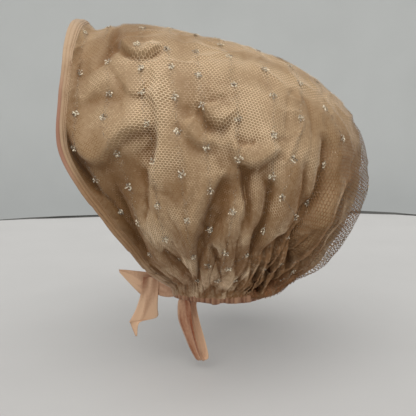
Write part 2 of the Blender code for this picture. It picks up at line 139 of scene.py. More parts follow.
# Folds of the left side, each a curve through three places on the cloth. A place is its share of
# the way back and of the way down from the ridge. Columns: start, middle, end, half width as a
# share of FOLD_WIDTH, rise as a share of FOLD_RISE.
FOLDS = (
    ((0.046, 0.482), (0.064, 0.608), (0.062, 0.784), 0.6, -0.45),
    ((0.080, 0.592), (0.144, 0.588), (0.216, 0.568), 1.7, -0.95),
    ((0.240, 0.602), (0.196, 0.706), (0.154, 0.816), 0.9, 0.45),
    ((0.192, 0.546), (0.220, 0.514), (0.240, 0.484), 0.9, -0.40),
    ((0.120, 0.606), (0.096, 0.686), (0.074, 0.794), 0.8, -0.50),
    ((0.254, 0.296), (0.234, 0.390), (0.242, 0.448), 0.5, 0.40),
    ((0.270, 0.474), (0.290, 0.616), (0.274, 0.782), 1.5, 0.50),
    ((0.218, 0.716), (0.220, 0.782), (0.218, 0.864), 0.7, -0.50),
    ((0.348, 0.556), (0.330, 0.664), (0.318, 0.770), 0.9, 0.25),
    ((0.598, 0.480), (0.654, 0.642), (0.726, 0.806), 1.0, 0.65),
    ((0.640, 0.344), (0.690, 0.454), (0.782, 0.618), 0.8, -0.50),
    ((0.698, 0.350), (0.790, 0.472), (0.874, 0.602), 1.0, 0.45),
    ((0.754, 0.440), (0.810, 0.512), (0.906, 0.578), 0.5, 0.40),
    ((0.794, 0.390), (0.858, 0.448), (0.906, 0.520), 0.5, -0.50),
    ((0.636, 0.450), (0.672, 0.508), (0.730, 0.578), 0.4, -0.50),
    ((0.740, 0.206), (0.820, 0.280), (0.904, 0.406), 1.0, -0.45),
    ((0.338, 0.264), (0.360, 0.348), (0.374, 0.390), 1.8, 0.35),
    ((0.264, 0.400), (0.284, 0.422), (0.312, 0.432), 0.6, -0.35),
    ((0.458, 0.326), (0.472, 0.422), (0.488, 0.472), 2.0, 0.45),
    ((0.125, 0.100), (0.130, 0.208), (0.104, 0.314), 0.5, -0.45),
    ((0.074, 0.396), (0.124, 0.396), (0.164, 0.426), 0.6, -0.35),
    ((0.406, 0.408), (0.412, 0.446), (0.412, 0.512), 0.25, 0.28),
    ((0.420, 0.560), (0.430, 0.640), (0.372, 0.765), 1.1, -0.60),
    ((0.352, 0.660), (0.338, 0.760), (0.345, 0.880), 0.8, 0.35),
    ((0.470, 0.600), (0.462, 0.670), (0.408, 0.755), 0.6, 0.55),
    ((0.458, 0.550), (0.515, 0.615), (0.570, 0.690), 0.5, -0.60),
    ((0.562, 0.668), (0.590, 0.750), (0.600, 0.850), 0.5, -0.50),
    ((0.510, 0.560), (0.560, 0.640), (0.618, 0.780), 0.5, 0.40),
    ((0.544, 0.545), (0.604, 0.630), (0.656, 0.785), 0.5, -0.70),
    ((0.745, 0.645), (0.728, 0.700), (0.712, 0.765), 0.6, -1.00),
    ((0.770, 0.370), (0.792, 0.500), (0.850, 0.620), 0.6, 0.50),
    ((0.800, 0.300), (0.812, 0.440), (0.910, 0.520), 0.5, -0.60),
)

# Edges where the cloth puffs over on the left of the way along and drops on the right of it, or
# the other way round where the puff's width is below nothing. Each row has its places, then the
# widths of the puff, of the drop and of the rise after it as shares of FOLD_WIDTH, then the height
# and the trough as shares of EDGE_RISE.
EDGES = (
    (((0.030, 0.452), (0.058, 0.478), (0.080, 0.510), (0.098, 0.528), (0.116, 0.532),
      (0.136, 0.518), (0.160, 0.496), (0.182, 0.482), (0.212, 0.472), (0.250, 0.452)),
     1.2, 0.22, 1.5, 0.66, 0.20),
    (((0.158, 0.518), (0.176, 0.522), (0.196, 0.516), (0.208, 0.508), (0.238, 0.472)),
     0.5, 0.3, 1.0, 0.04, 0.15),
    (((0.214, 0.380), (0.222, 0.400), (0.240, 0.428), (0.244, 0.454), (0.246, 0.496),
      (0.242, 0.536), (0.226, 0.572), (0.204, 0.618)),
     0.9, 0.25, 1.0, 0.25, 0.3),
    (((0.140, 0.182), (0.150, 0.232), (0.166, 0.262), (0.184, 0.278), (0.196, 0.284),
      (0.210, 0.274), (0.222, 0.248), (0.228, 0.212)),
     1.0, 0.2, 0.6, 0.45, 0.35),
    (((0.156, 0.356), (0.166, 0.376), (0.180, 0.394), (0.192, 0.400), (0.202, 0.390),
      (0.210, 0.364), (0.210, 0.334)),
     0.7, 0.15, 0.3, 0.14, 0.12),
    (((0.344, 0.400), (0.350, 0.426), (0.362, 0.442), (0.382, 0.448), (0.394, 0.440),
      (0.404, 0.410)),
     1.0, 0.25, 0.9, 0.45, 0.4),
    (((0.300, 0.446), (0.314, 0.474), (0.332, 0.494), (0.354, 0.498), (0.372, 0.484)),
     0.8, 0.35, 0.8, 0.25, 0.25),
    (((0.430, 0.482), (0.434, 0.504), (0.448, 0.522), (0.480, 0.526), (0.510, 0.510),
      (0.534, 0.480), (0.550, 0.456)),
     1.2, 0.25, 1.4, 0.5, 0.3),
    (((0.524, 0.660), (0.494, 0.612), (0.464, 0.572), (0.442, 0.538), (0.430, 0.518),
      (0.426, 0.492), (0.414, 0.472)),
     0.7, 0.22, 0.6, 0.28, 0.35),
    (((0.314, 0.816), (0.322, 0.734), (0.334, 0.690), (0.352, 0.652), (0.370, 0.612),
      (0.390, 0.576), (0.418, 0.548)),
     1.0, 0.3, 0.9, 0.3, 0.45),
    (((0.620, 0.758), (0.590, 0.712), (0.580, 0.668), (0.570, 0.626), (0.558, 0.588),
      (0.552, 0.564), (0.536, 0.544)),
     0.5, 0.25, 0.6, 0.25, 0.45),
    (((0.640, 0.328), (0.654, 0.390), (0.674, 0.426), (0.700, 0.460), (0.726, 0.498),
      (0.742, 0.536)),
     -1.0, 0.25, 0.9, 0.35, 0.45),
)

# Sharp creases between the folds, in the columns of the folds.
CREASES = (
    ((0.034, 0.462), (0.048, 0.532), (0.062, 0.606), 0.26, -1.70),
    ((0.112, 0.588), (0.098, 0.680), (0.072, 0.818), 0.32, -1.20),
    ((0.164, 0.424), (0.168, 0.442), (0.168, 0.460), 0.12, -0.10),
    ((0.190, 0.604), (0.188, 0.640), (0.170, 0.668), 0.18, -0.50),
    ((0.190, 0.750), (0.212, 0.810), (0.280, 0.878), 0.22, -0.90),
    ((0.092, 0.834), (0.100, 0.888), (0.206, 0.950), 0.22, -0.90),
    ((0.386, 0.628), (0.364, 0.760), (0.352, 0.968), 0.22, -0.55),
    ((0.422, 0.740), (0.446, 0.768), (0.466, 0.804), 0.18, -0.60),
    ((0.540, 0.554), (0.578, 0.652), (0.632, 0.782), 0.2, -0.35),
    ((0.760, 0.640), (0.742, 0.688), (0.704, 0.756), 0.25, -0.35),
    ((0.640, 0.334), (0.686, 0.444), (0.744, 0.536), 0.2, -0.30),
    ((0.544, 0.258), (0.532, 0.338), (0.560, 0.452), 0.15, -0.16),
    ((0.556, 0.270), (0.598, 0.332), (0.642, 0.450), 0.15, -0.16),
    ((0.544, 0.550), (0.604, 0.630), (0.656, 0.785), 0.16, -0.50),
    ((0.462, 0.560), (0.515, 0.612), (0.562, 0.670), 0.16, -0.35),
    ((0.715, 0.460), (0.736, 0.572), (0.746, 0.662), 0.22, -0.80),
    ((0.746, 0.662), (0.790, 0.745), (0.900, 0.820), 0.22, -1.00),
    ((0.806, 0.320), (0.806, 0.450), (0.915, 0.520), 0.22, -1.00),
    ((0.424, 0.640), (0.400, 0.700), (0.366, 0.780), 0.16, -0.40),
    ((0.126, 0.160), (0.122, 0.246), (0.112, 0.300), 0.4, -0.40),
    ((0.124, 0.306), (0.150, 0.354), (0.174, 0.394), 0.3, -0.30),
    ((0.210, 0.336), (0.212, 0.392), (0.178, 0.404), 0.2, -0.28),
    ((0.002, 0.288), (0.018, 0.300), (0.038, 0.314), 0.18, -0.30),
    ((0.800, 0.540), (0.860, 0.670), (0.970, 0.800), 0.22, -0.90),
    ((0.840, 0.440), (0.905, 0.570), (0.985, 0.740), 0.22, -0.90),
    ((0.868, 0.340), (0.930, 0.440), (0.988, 0.600), 0.2, -0.70),
    ((0.695, 0.660), (0.745, 0.780), (0.870, 0.900), 0.2, -0.80),
    ((0.640, 0.700), (0.675, 0.800), (0.730, 0.930), 0.18, -0.60),
    ((0.770, 0.600), (0.830, 0.740), (0.950, 0.870), 0.18, -0.70),
    ((0.602, 0.650), (0.640, 0.736), (0.810, 0.902), 0.20, -0.80),
    ((0.530, 0.690), (0.572, 0.778), (0.720, 0.938), 0.14, -0.40),
    ((0.418, 0.734), (0.448, 0.788), (0.568, 0.898), 0.14, -0.70),
    ((0.368, 0.708), (0.344, 0.772), (0.362, 0.908), 0.18, -0.80),
    ((0.680, 0.436), (0.732, 0.494), (0.760, 0.574), 0.22, -0.90),
    ((0.760, 0.574), (0.814, 0.652), (0.962, 0.656), 0.20, -0.90),
    ((0.794, 0.442), (0.852, 0.498), (0.924, 0.560), 0.16, -0.60),
    ((0.650, 0.480), (0.688, 0.532), (0.714, 0.586), 0.14, -0.50),
    ((0.074, 0.600), (0.070, 0.666), (0.068, 0.754), 0.16, -0.60),
)

# Soft patches of painted shade where the cloth is darker, or of painted light where it is
# lighter, which is where the share is below nothing. Columns: place back and down, reach back and
# down, how much.
PAINTED_SHADE_PATCHES = (
    (0.045, 0.37, 0.025, 0.10, 0.35),
    (0.140, 0.20, 0.030, 0.08, 0.20),
    (0.190, 0.15, 0.100, 0.08, 0.30),
    (0.075, 0.30, 0.030, 0.06, 0.20),
    (0.088, 0.49, 0.040, 0.040, -0.65),
    (0.052, 0.55, 0.016, 0.06, 0.50),
    (0.094, 0.70, 0.024, 0.08, 0.50),
    (0.200, 0.66, 0.035, 0.10, -0.15),
    (0.165, 0.52, 0.035, 0.025, -0.35),
    (0.655, 0.60, 0.040, 0.06, 0.25),
    (0.760, 0.34, 0.040, 0.08, 0.22),
    (0.610, 0.87, 0.090, 0.05, -0.45),
    (0.692, 0.872, 0.060, 0.04, -0.55),
    (0.072, 0.640, 0.014, 0.05, -0.20),
    (0.890, 0.46, 0.045, 0.09, -0.35),
    (0.032, 0.66, 0.020, 0.05, -0.20),
    (0.294, 0.58, 0.050, 0.08, 0.30),
    (0.370, 0.40, 0.070, 0.08, 0.15),
    (0.234, 0.40, 0.032, 0.07, -0.75),
    (0.430, 0.62, 0.030, 0.07, 0.30),
    (0.376, 0.75, 0.035, 0.05, 0.35),
    (0.600, 0.80, 0.050, 0.05, 0.20),
    (0.728, 0.70, 0.030, 0.04, 0.55),
    (0.628, 0.588, 0.040, 0.07, 0.22),
    (0.712, 0.396, 0.040, 0.07, 0.28),
    (0.545, 0.585, 0.060, 0.05, 0.30),
    (0.742, 0.540, 0.022, 0.06, 0.30),
    (0.325, 0.385, 0.055, 0.055, 0.22),
    (0.390, 0.350, 0.035, 0.050, 0.14),
)

# Flowers of the left side in columns that run down from the ridge. A row is one column; each
# place is its share of the way back and of the way down.
FLOWER_COLUMNS = (
    ((0.050, 0.146), (0.060, 0.312), (0.060, 0.416), (0.064, 0.490), (0.080, 0.566),
     (0.080, 0.656), (0.114, 0.772)),
    ((0.108, 0.100), (0.128, 0.302), (0.138, 0.394), (0.132, 0.452), (0.150, 0.530),
     (0.152, 0.594), (0.140, 0.676), (0.220, 0.822)),
    ((0.180, 0.120), (0.184, 0.256), (0.198, 0.330), (0.204, 0.394), (0.216, 0.470),
     (0.230, 0.550), (0.228, 0.632), (0.226, 0.712)),
    ((0.235, 0.060), (0.244, 0.248), (0.260, 0.318), (0.276, 0.402), (0.288, 0.484),
     (0.300, 0.568), (0.316, 0.658), (0.328, 0.760), (0.346, 0.902)),
    ((0.300, 0.120), (0.310, 0.234), (0.322, 0.334), (0.340, 0.418), (0.356, 0.512),
     (0.378, 0.594), (0.394, 0.694), (0.412, 0.804)),
    ((0.350, 0.060), (0.360, 0.158), (0.382, 0.240), (0.400, 0.346), (0.422, 0.436),
     (0.444, 0.526), (0.466, 0.630), (0.490, 0.748), (0.526, 0.890)),
    ((0.445, 0.120), (0.464, 0.254), (0.492, 0.344), (0.518, 0.446), (0.558, 0.536),
     (0.632, 0.666), (0.620, 0.760), (0.552, 0.818)),
    ((0.500, 0.060), (0.520, 0.152), (0.548, 0.234), (0.572, 0.360), (0.594, 0.474),
     (0.612, 0.570), (0.708, 0.596), (0.694, 0.908)),
    ((0.590, 0.130), (0.620, 0.266), (0.692, 0.308), (0.698, 0.414), (0.746, 0.522),
     (0.784, 0.648), (0.816, 0.800)),
    ((0.700, 0.070), (0.760, 0.168), (0.832, 0.160), (0.814, 0.398), (0.878, 0.512),
     (0.894, 0.696)),
    ((0.850, 0.060), (0.910, 0.218), (0.924, 0.340), (0.936, 0.586), (0.955, 0.645)),
)

# How a flower is made: its petals round the middle one, the flakes on each, and how far back or
# forward the flakes of a trail stray, as a share of the way back
PETALS = 5
PETAL_FLAKES = 7
TRAIL_SPREAD = 0.0042

# Ribbon rows with the places of both edges: forward and down from the start as shares of the
# piece's own length, and to the side as a share of the ribbon's width.
STRAP_SPREAD = ((0.0, 0.30), (0.3, 0.62), (0.6, 0.85), (0.85, 0.62), (1.0, 0.34))
NEAR_STRAP_SPREAD = ((0.0, 0.20), (0.3, 0.36), (0.6, 0.50), (0.85, 0.62), (1.0, 0.66))
STRAP_MEETS_KNOT = {"tie_near": (-0.15, 1.0, 0.0), "tie_far": (-1.0, 0.4, 0.0)}
TAIL_ROWS = (
    ((0.06, -0.18, 0.34), (-0.24, -0.18, 0.37)),
    ((0.09, 0.02, 0.335), (-0.23, 0.02, 0.37)),
    ((0.13, 0.20, 0.34), (-0.21, 0.21, 0.40)),
    ((0.22, 0.46, 0.36), (-0.20, 0.44, 0.30)),
    ((0.33, 0.67, 0.44), (-0.18, 0.62, 0.22)),
    ((0.33, 0.71, 0.30), (0.14, 0.70, 0.40)),
    ((0.23, 0.98, 0.30), (0.20, 0.98, 0.34)),
)
WING_ROWS = (
    ((-0.35, -0.44, 0.20), (-0.35, 0.75, 0.22)),
    ((0.05, -0.46, 0.08), (0.10, 0.45, 0.12)),
    ((0.40, -0.48, 0.00), (0.42, 0.16, 0.06)),
    ((0.72, -0.49, -0.14), (0.74, -0.16, -0.04)),
    ((1.00, -0.49, -0.22), (0.98, -0.41, -0.16)),
)
LOOP_ROWS = (
    ((0.00, 0.00, 0.00), (-0.15, 0.00, 0.32)),
    ((0.03, 0.12, 0.10), (-0.19, 0.12, 0.46)),
    ((0.01, 0.40, 0.14), (-0.23, 0.40, 0.60)),
    ((-0.12, 0.71, 0.30), (-0.30, 0.74, 0.58)),
    ((-0.25, 0.95, 0.40), (-0.37, 0.97, 0.50)),
    ((-0.28, 1.00, 0.28), (-0.42, 1.01, 0.34)),
    ((-0.30, 0.95, 0.14), (-0.47, 0.97, 0.24)),
    ((-0.22, 0.70, -0.02), (-0.43, 0.74, 0.24)),
    ((-0.14, 0.38, -0.10), (-0.34, 0.42, 0.22)),
    ((-0.12, 0.12, 0.02), (-0.28, 0.12, 0.32)),
    ((-0.19, 0.00, 0.38), (-0.31, 0.00, 0.48)),
)

# How much shade is painted into each ribbon's colour, in even steps from its start to its end
STRAP_SHADES = (0.30, 0.10, 0.0)
WING_SHADES = (0.42, 0.15)
TAIL_SHADES = (0.40, 0.30, 0.05, 0.0, 0.2)
LOOP_SHADES = (0.85, 0.68, 0.56, 0.50, 0.50, 0.20, 0.00, 0.00, 0.10, 0.55, 0.90)

# The bound edge in millimetres: distance back from the edge and height over the satin, from the
# outer ridge to the edge and then inside it
BINDING_OUTSIDE = (
    (10.0, -0.8), (9.6, 0.2), (9.2, 0.8), (8.8, 1.0), (8.4, 0.8), (8.1, 0.2), (7.8, 0.8),
    (7.4, 1.2), (7.0, 1.2), (6.6, 0.9), (6.4, 0.3), (6.1, 0.9), (5.5, 1.4), (4.5, 1.6),
    (3.6, 1.6), (3.1, 1.3), (2.9, 0.9), (2.6, 1.4), (1.8, 1.7), (1.0, 1.8), (0.0, 1.7),
)
BINDING_INSIDE = ((0.0, -2.5), (1.5, -2.7), (4.0, -2.7), (8.0, -2.6), (9.6, -2.5), (10.0, -1.8))

# How much shade is painted into the binding's stitched grooves: distance back from the edge and how much
BINDING_GROOVES = (
    (0.0, 0.0), (0.0026, 0.0), (0.0029, 0.35), (0.0033, 0.0), (0.0060, 0.0), (0.0064, 0.45),
    (0.0068, 0.0), (0.0078, 0.0), (0.0081, 0.6), (0.0084, 0.0),
)

# The floor, the places x and y of its far edge, which is a little bowed, and the heights of the
# painted shadow line along that as shares of LIP_HEIGHT
FLOOR_Z = -0.318
FLOOR_EDGE = (
    (-0.893, -1.60), (-0.893, -0.711), (-0.927, -0.569), (-0.953, -0.498), (-0.966, -0.422),
    (-1.018, -0.213), (-1.048, -0.025), (-1.064, 0.237), (-1.056, 0.405), (-1.036, 0.498),
    (-1.012, 0.549), (-0.971, 0.680), (-0.971, 1.60),
)
SHADOW_LINE_HEIGHTS = (0.1, 0.1, 0.3, 0.6, 0.9, 0.9, 0.9, 0.9, 1.3, 0.9, 0.5, 0.2, 0.2)
LIP_HEIGHT = 0.006
LIP_DEPTH = 0.004
FLOOR_FRONT_X = 3.0
WALL_X = -1.25

# The key light and the camera, with the degrees that the camera looks down
KEY_FROM = (0.46, -0.06, 0.88)
KEY_SPREAD = 70.0
CAMERA_PLACE = (0.6147, -0.025, -0.0821)
CAMERA_TILT = 7.5


def length_property(name, default, description):
    """A length in metres."""
    return bpy.props.FloatProperty(
        name=name, description=description, default=default, min=0.0, subtype="DISTANCE", precision=5
    )


def colour_property(name, default, description):
    """A colour given as it looks on a screen, from 0 to 255."""
    return bpy.props.FloatVectorProperty(
        name=name,
        description=description,
        default=tuple((c / 255) ** 2.2 for c in default),
        size=3,
        min=0.0,
        max=1.0,
        subtype="COLOR",
    )


class SatinLook(bpy.types.PropertyGroup):
    light: colour_property("Satin", (178, 148, 111), "Colour of the satin on its open stretches")
    # The deeper colour is both the satin's mottling and its painted shade in folds
    deep: colour_property("Satin in folds", (128, 92, 53), "Colour of the satin low in its folds")
    bunched: colour_property("Bunched satin", (176, 116, 76), "Colour of the cloth bunched at the neck")
    rows: bpy.props.IntProperty(name="Rows", description="Rows of the cloth mesh", default=250, min=40)
    columns: bpy.props.IntProperty(
        name="Columns", description="Columns of the cloth mesh", default=385, min=41
    )
    wrinkle: length_property("Wrinkles", 0.0007, "Height of the small wrinkles")


class NetLook(bpy.types.PropertyGroup):
    thread: colour_property("Net", (250, 224, 188), "Colour of the net's threads")
    shaded: colour_property("Net in folds", (150, 112, 77), "Colour of the threads in folds and behind")
    cell: length_property("Cell", 0.0034, "Width of one six-sided cell of the net at the ridge")
    thread_width: length_property("Thread width", 0.00038, "Width of a thread of the net")
    gap: length_property("Gap", 0.0009, "How far the net lies off the satin")
    stand_off: length_property("Stand-off", 0.0085, "How far the net stands off at the back")
    flower: length_property("Flower", 0.0032, "Radius of a glitter flower")


class TrimLook(bpy.types.PropertyGroup):
    binding: colour_property("Binding", (198, 167, 135), "Colour of the bound edge")
    # The darker binding colour is its painted shade and mottling; the casing's and ribbon's colours in folds
    # are their painted shade and mottling
    shaded_and_mottled: colour_property("Shadowed binding", (152, 116, 80), "Colour of the bound edge where it is worn")
    edge: colour_property("Binding edge", (172, 126, 104), "Colour of the outer roll of the binding")
    casing: colour_property("Casing", (196, 150, 118), "Colour of the neck casing")
    casing_deep: colour_property("Casing in folds", (128, 82, 58), "Colour of the casing in its puckers")
    ribbon: colour_property("Ribbon", (242, 200, 164), "Colour of the ribbon ties")
    ribbon_deep: colour_property("Ribbon in folds", (142, 76, 42), "Colour of the ribbon in folds")


class StudioLook(bpy.types.PropertyGroup):
    table: colour_property("Floor", (170, 169, 168), "Colour of the floor")
    wall: colour_property("Wall", (201, 204, 203), "Colour of the wall behind")
    key: bpy.props.FloatProperty(name="Key light", description="Power of the key light", default=2.57)
    lens: bpy.props.FloatProperty(name="Lens", description="Focal length in millimetres", default=51.59)


def look(name):
    """One of the property groups of the scene."""
    return getattr(bpy.context.scene, name)


# Form of the bag


def smooth_rows(rows, place):
    """Reads every column of a table at a place with a smooth curve through its rows."""
    table = np.array(rows, float)
    keys, values = table[:, 0], table[:, 1:]
    slopes = np.gradient(values, keys, axis=0)
    place = np.clip(np.asarray(place, float), keys[0], keys[-1])
    row = np.clip(np.searchsorted(keys, place, side="right") - 1, 0, len(keys) - 2)
    step = keys[row + 1] - keys[row]
    s = ((place - keys[row]) / step)[..., None]
    step = step[..., None]
    low = (2 * s**3 - 3 * s**2 + 1) * values[row] + (s**3 - 2 * s**2 + s) * step * slopes[row]
    high = (3 * s**2 - 2 * s**3) * values[row + 1] + (s**3 - s**2) * step * slopes[row + 1]
    return low + high


def neck_oval(turn, height):
    """The neck edge, which turns from the front over the left side to the nape."""
    x = NECK_WIDTH / 2 * np.sin(turn)
    y = -NECK_FRONT + NECK_LENGTH / 2 * (1 - np.cos(turn))
    return np.stack([x, y, np.full_like(x, height)], -1)


def smooth_bag(back, across):
    """The bag without folds. back runs from the face edge (0) to the nape (1), and across from
    the left side's neck edge (-1) over the ridge (0) to the right side's neck edge (1)."""
    back, across = np.broadcast_arrays(np.asarray(back, float), np.asarray(across, float))
    side = np.where(across < 0, 1.0, -1.0)
    columns = smooth_rows(ARCHES, back)
    ridge_y = columns[..., 0] * BONNET_REACH
    ridge_z = columns[..., 1] * CROWN_HEIGHT + SATIN_THICKNESS
    foot = neck_oval(CHIN_TURN + (EAR_TURN - CHIN_TURN) * back, NECK_EDGE_Z)
    half = np.maximum(columns[..., 2] * BONNET_WIDTH / 2, foot[..., 0])
    bow = columns[..., 3] * BONNET_REACH
    square = columns[..., 4]
    start = np.arcsin(np.clip((foot[..., 0] / half) ** (square / 2), 0, 1))
    angle = start + (math.pi - start) * (1 - np.abs(across))
    level = np.sign(np.cos(angle)) * np.abs(np.cos(angle)) ** (2 / square)
    first = np.cos(start) ** (2 / square)
    rise = (first - level) / (1 + first)
    x = half * np.abs(np.sin(angle)) ** (2 / square) * side
    run_y, run_z = ridge_y - foot[..., 1], ridge_z - NECK_EDGE_Z
    run = np.hypot(run_y, run_z)
    hang = 1 + 0.7 * np.clip(1 - rise, 0, 1) ** 1.5
    swell = bow * np.sin(math.pi * np.clip(rise, 0, 1)) ** hang
    bends = smooth_rows(FACE_BENDS, rise)[..., 0] * BONNET_REACH
    swell += bends * (1 - ramp(back, 0.0, FACE_BENDS_END))
    y = foot[..., 1] + run_y * rise - run_z / run * swell
    z = NECK_EDGE_Z + run_z * rise + run_y / run * swell
    return np.stack([x, y, z], -1)


def ramp(value, low, high):
    """Rises smoothly from 0 at low to 1 at high."""
    s = np.clip((value - low) / (high - low), 0, 1)
    return s * s * (3 - 2 * s)


def nearest_on_curve(points, curve, facing=None):
    """Least distance from each point to a chain of segments, how far along it that is, and with
    facing given, the side of the chain that the point is on."""
    best = np.full(points.shape[:-1], np.inf)
    along, side = np.zeros(points.shape[:-1]), np.zeros(points.shape[:-1])
    for k, (a, b) in enumerate(zip(curve[:-1], curve[1:])):
        run = b - a
        s = np.clip((points - a) @ run / (run @ run), 0, 1)
        arm = points - a - s[..., None] * run
        gap = np.linalg.norm(arm, axis=-1)
        nearer = gap < best
        best = np.where(nearer, gap, best)
        along = np.where(nearer, (k + s) / (len(curve) - 1), along)
        if facing is not None:
            side = np.where(nearer, np.sign((arm * np.cross(facing, run)).sum(-1)), side)
    return best, along, side


def on_left(across, vectors):
    """Vectors of the right side mirrored to the left, since the tables give the left side."""
    return np.where((across < 0)[..., None], vectors, vectors * np.array([-1.0, 1.0, 1.0]))


def lower_on_right(across, rise):
    """Takes the rise of the right side down to its share of the left side's."""
    return rise * (1 - (1 - RIGHT_SIDE_FOLDS) * ramp(across, -0.1, 0.1))


def fold_rise(across, places, folds, pointed=False):
    """How far a table of folds lifts the cloth. A pointed fold has a sharp bottom line."""
    left = on_left(across, places)
    rise = np.zeros(across.shape)
    s = np.linspace(0, 1, 9)[:, None]
    for *stops, width, height in folds:
        start, middle, end = np.array(stops)
        bend = 2 * middle - (start + end) / 2
        route = (1 - s) ** 2 * start + 2 * s * (1 - s) * bend + s**2 * end
        curve = smooth_bag(route[:, 0], -route[:, 1])
        gap, along, _ = nearest_on_curve(left, curve)
        ends = 1 - (2 * along - 1) ** 4
        spread = gap / (width * FOLD_WIDTH)
        shape = np.exp(-spread) if pointed else np.exp(-(spread**2))
        rise += height * FOLD_RISE * shape * (0.25 + 0.75 * ends)
    return lower_on_right(across, rise)


def edge_rise(across, places, outward):
    """How far the edges lift the cloth: a round puff on one side, a steep drop on the other."""
    left, facing = on_left(across, places), on_left(across, outward)
    rise = np.zeros(across.shape)
    for stops, puff, drop, after, height, trough in EDGES:
        route = smooth_path(stops, 4)
        curve = smooth_bag(route[:, 0], -route[:, 1])
        gap, along, side = nearest_on_curve(left, curve, facing)
        gap = gap / FOLD_WIDTH
        above = height * np.exp(-((gap / abs(puff)) ** 2))
        below = (height + trough) * np.exp(-((gap / drop) ** 2))
        below = below - trough * np.exp(-((gap / after) ** 2))
        ends = ramp(along, 0.0, 0.2) * (1 - ramp(along, 0.8, 1.0))
        rise += EDGE_RISE * ends * np.where(side * np.sign(puff) > 0, above, below)
    return lower_on_right(across, rise)


def neck_turn(back, across):
    """Which part of the neck edge a place on the cloth runs down to."""
    half_turn = EAR_TURN - CHIN_TURN
    rear_turn = math.pi - EAR_TURN
    split = (half_turn * (1 - back)) ** 2 - (rear_turn * (1 - np.abs(across))) ** 2
    turn = EAR_TURN - np.sign(split) * np.sqrt(np.abs(split))
    return np.where(across < 0, turn, 2 * math.pi - turn)


def nape_lift(turn):
    """How much higher the casing lies towards the nape."""
    turn = np.minimum(turn, 2 * math.pi - turn)
    return NAPE_LIFT * ramp(turn, math.radians(95), math.radians(150))


def gather_rise(back, across, places):
    """The gathers that run up from the neck edge, with two kinds of finer ones between them."""
    turn = neck_turn(back, across)
    uneven = 1.1 * np.sin(3 * turn) + 0.7 * np.sin(7 * turn + 1)
    wave = np.sin(GATHER_COUNT * turn + uneven)
    steps = np.linspace(CHIN_TURN, 2 * math.pi - CHIN_TURN, 60)
    height, _, _ = nearest_on_curve(places, neck_oval(steps, NECK_EDGE_Z))
    fade = 0.35 + 0.65 * ramp(height, 0.0, GATHER_REACH / 3)
    fade = fade * (1 - ramp(height, GATHER_REACH * 0.4, GATHER_REACH * 1.5))
    strength = 0.75 + 0.25 * np.sin(5 * turn + 2)
    main = GATHER_RISE * fade * strength * (wave - 0.25 * wave**2)
    crowd = value_noise(turn * 9, 3.0, 11)
    fine = 1 - np.abs(np.sin(31 * turn + 2.3 * crowd + 1.5 * np.sin(height * 60 + 4 * turn)))
    finer = 1 - np.abs(np.sin(67 * turn + 4 * crowd + height * 25))
    reach = GATHER_REACH * (0.6 + 2.2 * crowd)
    fine = -FINE_GATHER_RISE * fine**3 * (1 - ramp(height, reach * 0.3, reach))
    finer = -FINER_GATHER_RISE * finer**2 * (1 - ramp(height, reach * 0.1, reach * 0.7))
    return main + fine + finer


def value_noise(x, y, seed):
    """Smooth noise from 0 to 1 with one unit between its knots."""
    table = np.random.default_rng(seed).random((64, 64))
    xi, yi = np.floor(x).astype(int), np.floor(y).astype(int)
    fx, fy = x - xi, y - yi
    fx, fy = fx * fx * (3 - 2 * fx), fy * fy * (3 - 2 * fy)
    a, b = table[xi % 64, yi % 64], table[(xi + 1) % 64, yi % 64]
    c, d = table[xi % 64, (yi + 1) % 64], table[(xi + 1) % 64, (yi + 1) % 64]
    return (a * (1 - fx) + b * fx) * (1 - fy) + (c * (1 - fx) + d * fx) * fy


def grid_normals(grid):
    """Unit normals of a grid of places."""
    across = np.gradient(grid, axis=1)
    back = np.gradient(grid, axis=0)
    normals = np.cross(across, back)
    return normals / np.maximum(np.linalg.norm(normals, axis=-1, keepdims=True), 1e-12)


def arc_lengths(grid, axis):
    """The way along a grid's rows or columns to each of its places."""
    steps = np.linalg.norm(np.diff(grid, axis=axis), axis=-1)
    pad = [(0, 0), (0, 0)]
    pad[axis] = (1, 0)
    return np.cumsum(np.pad(steps, pad), axis=axis)


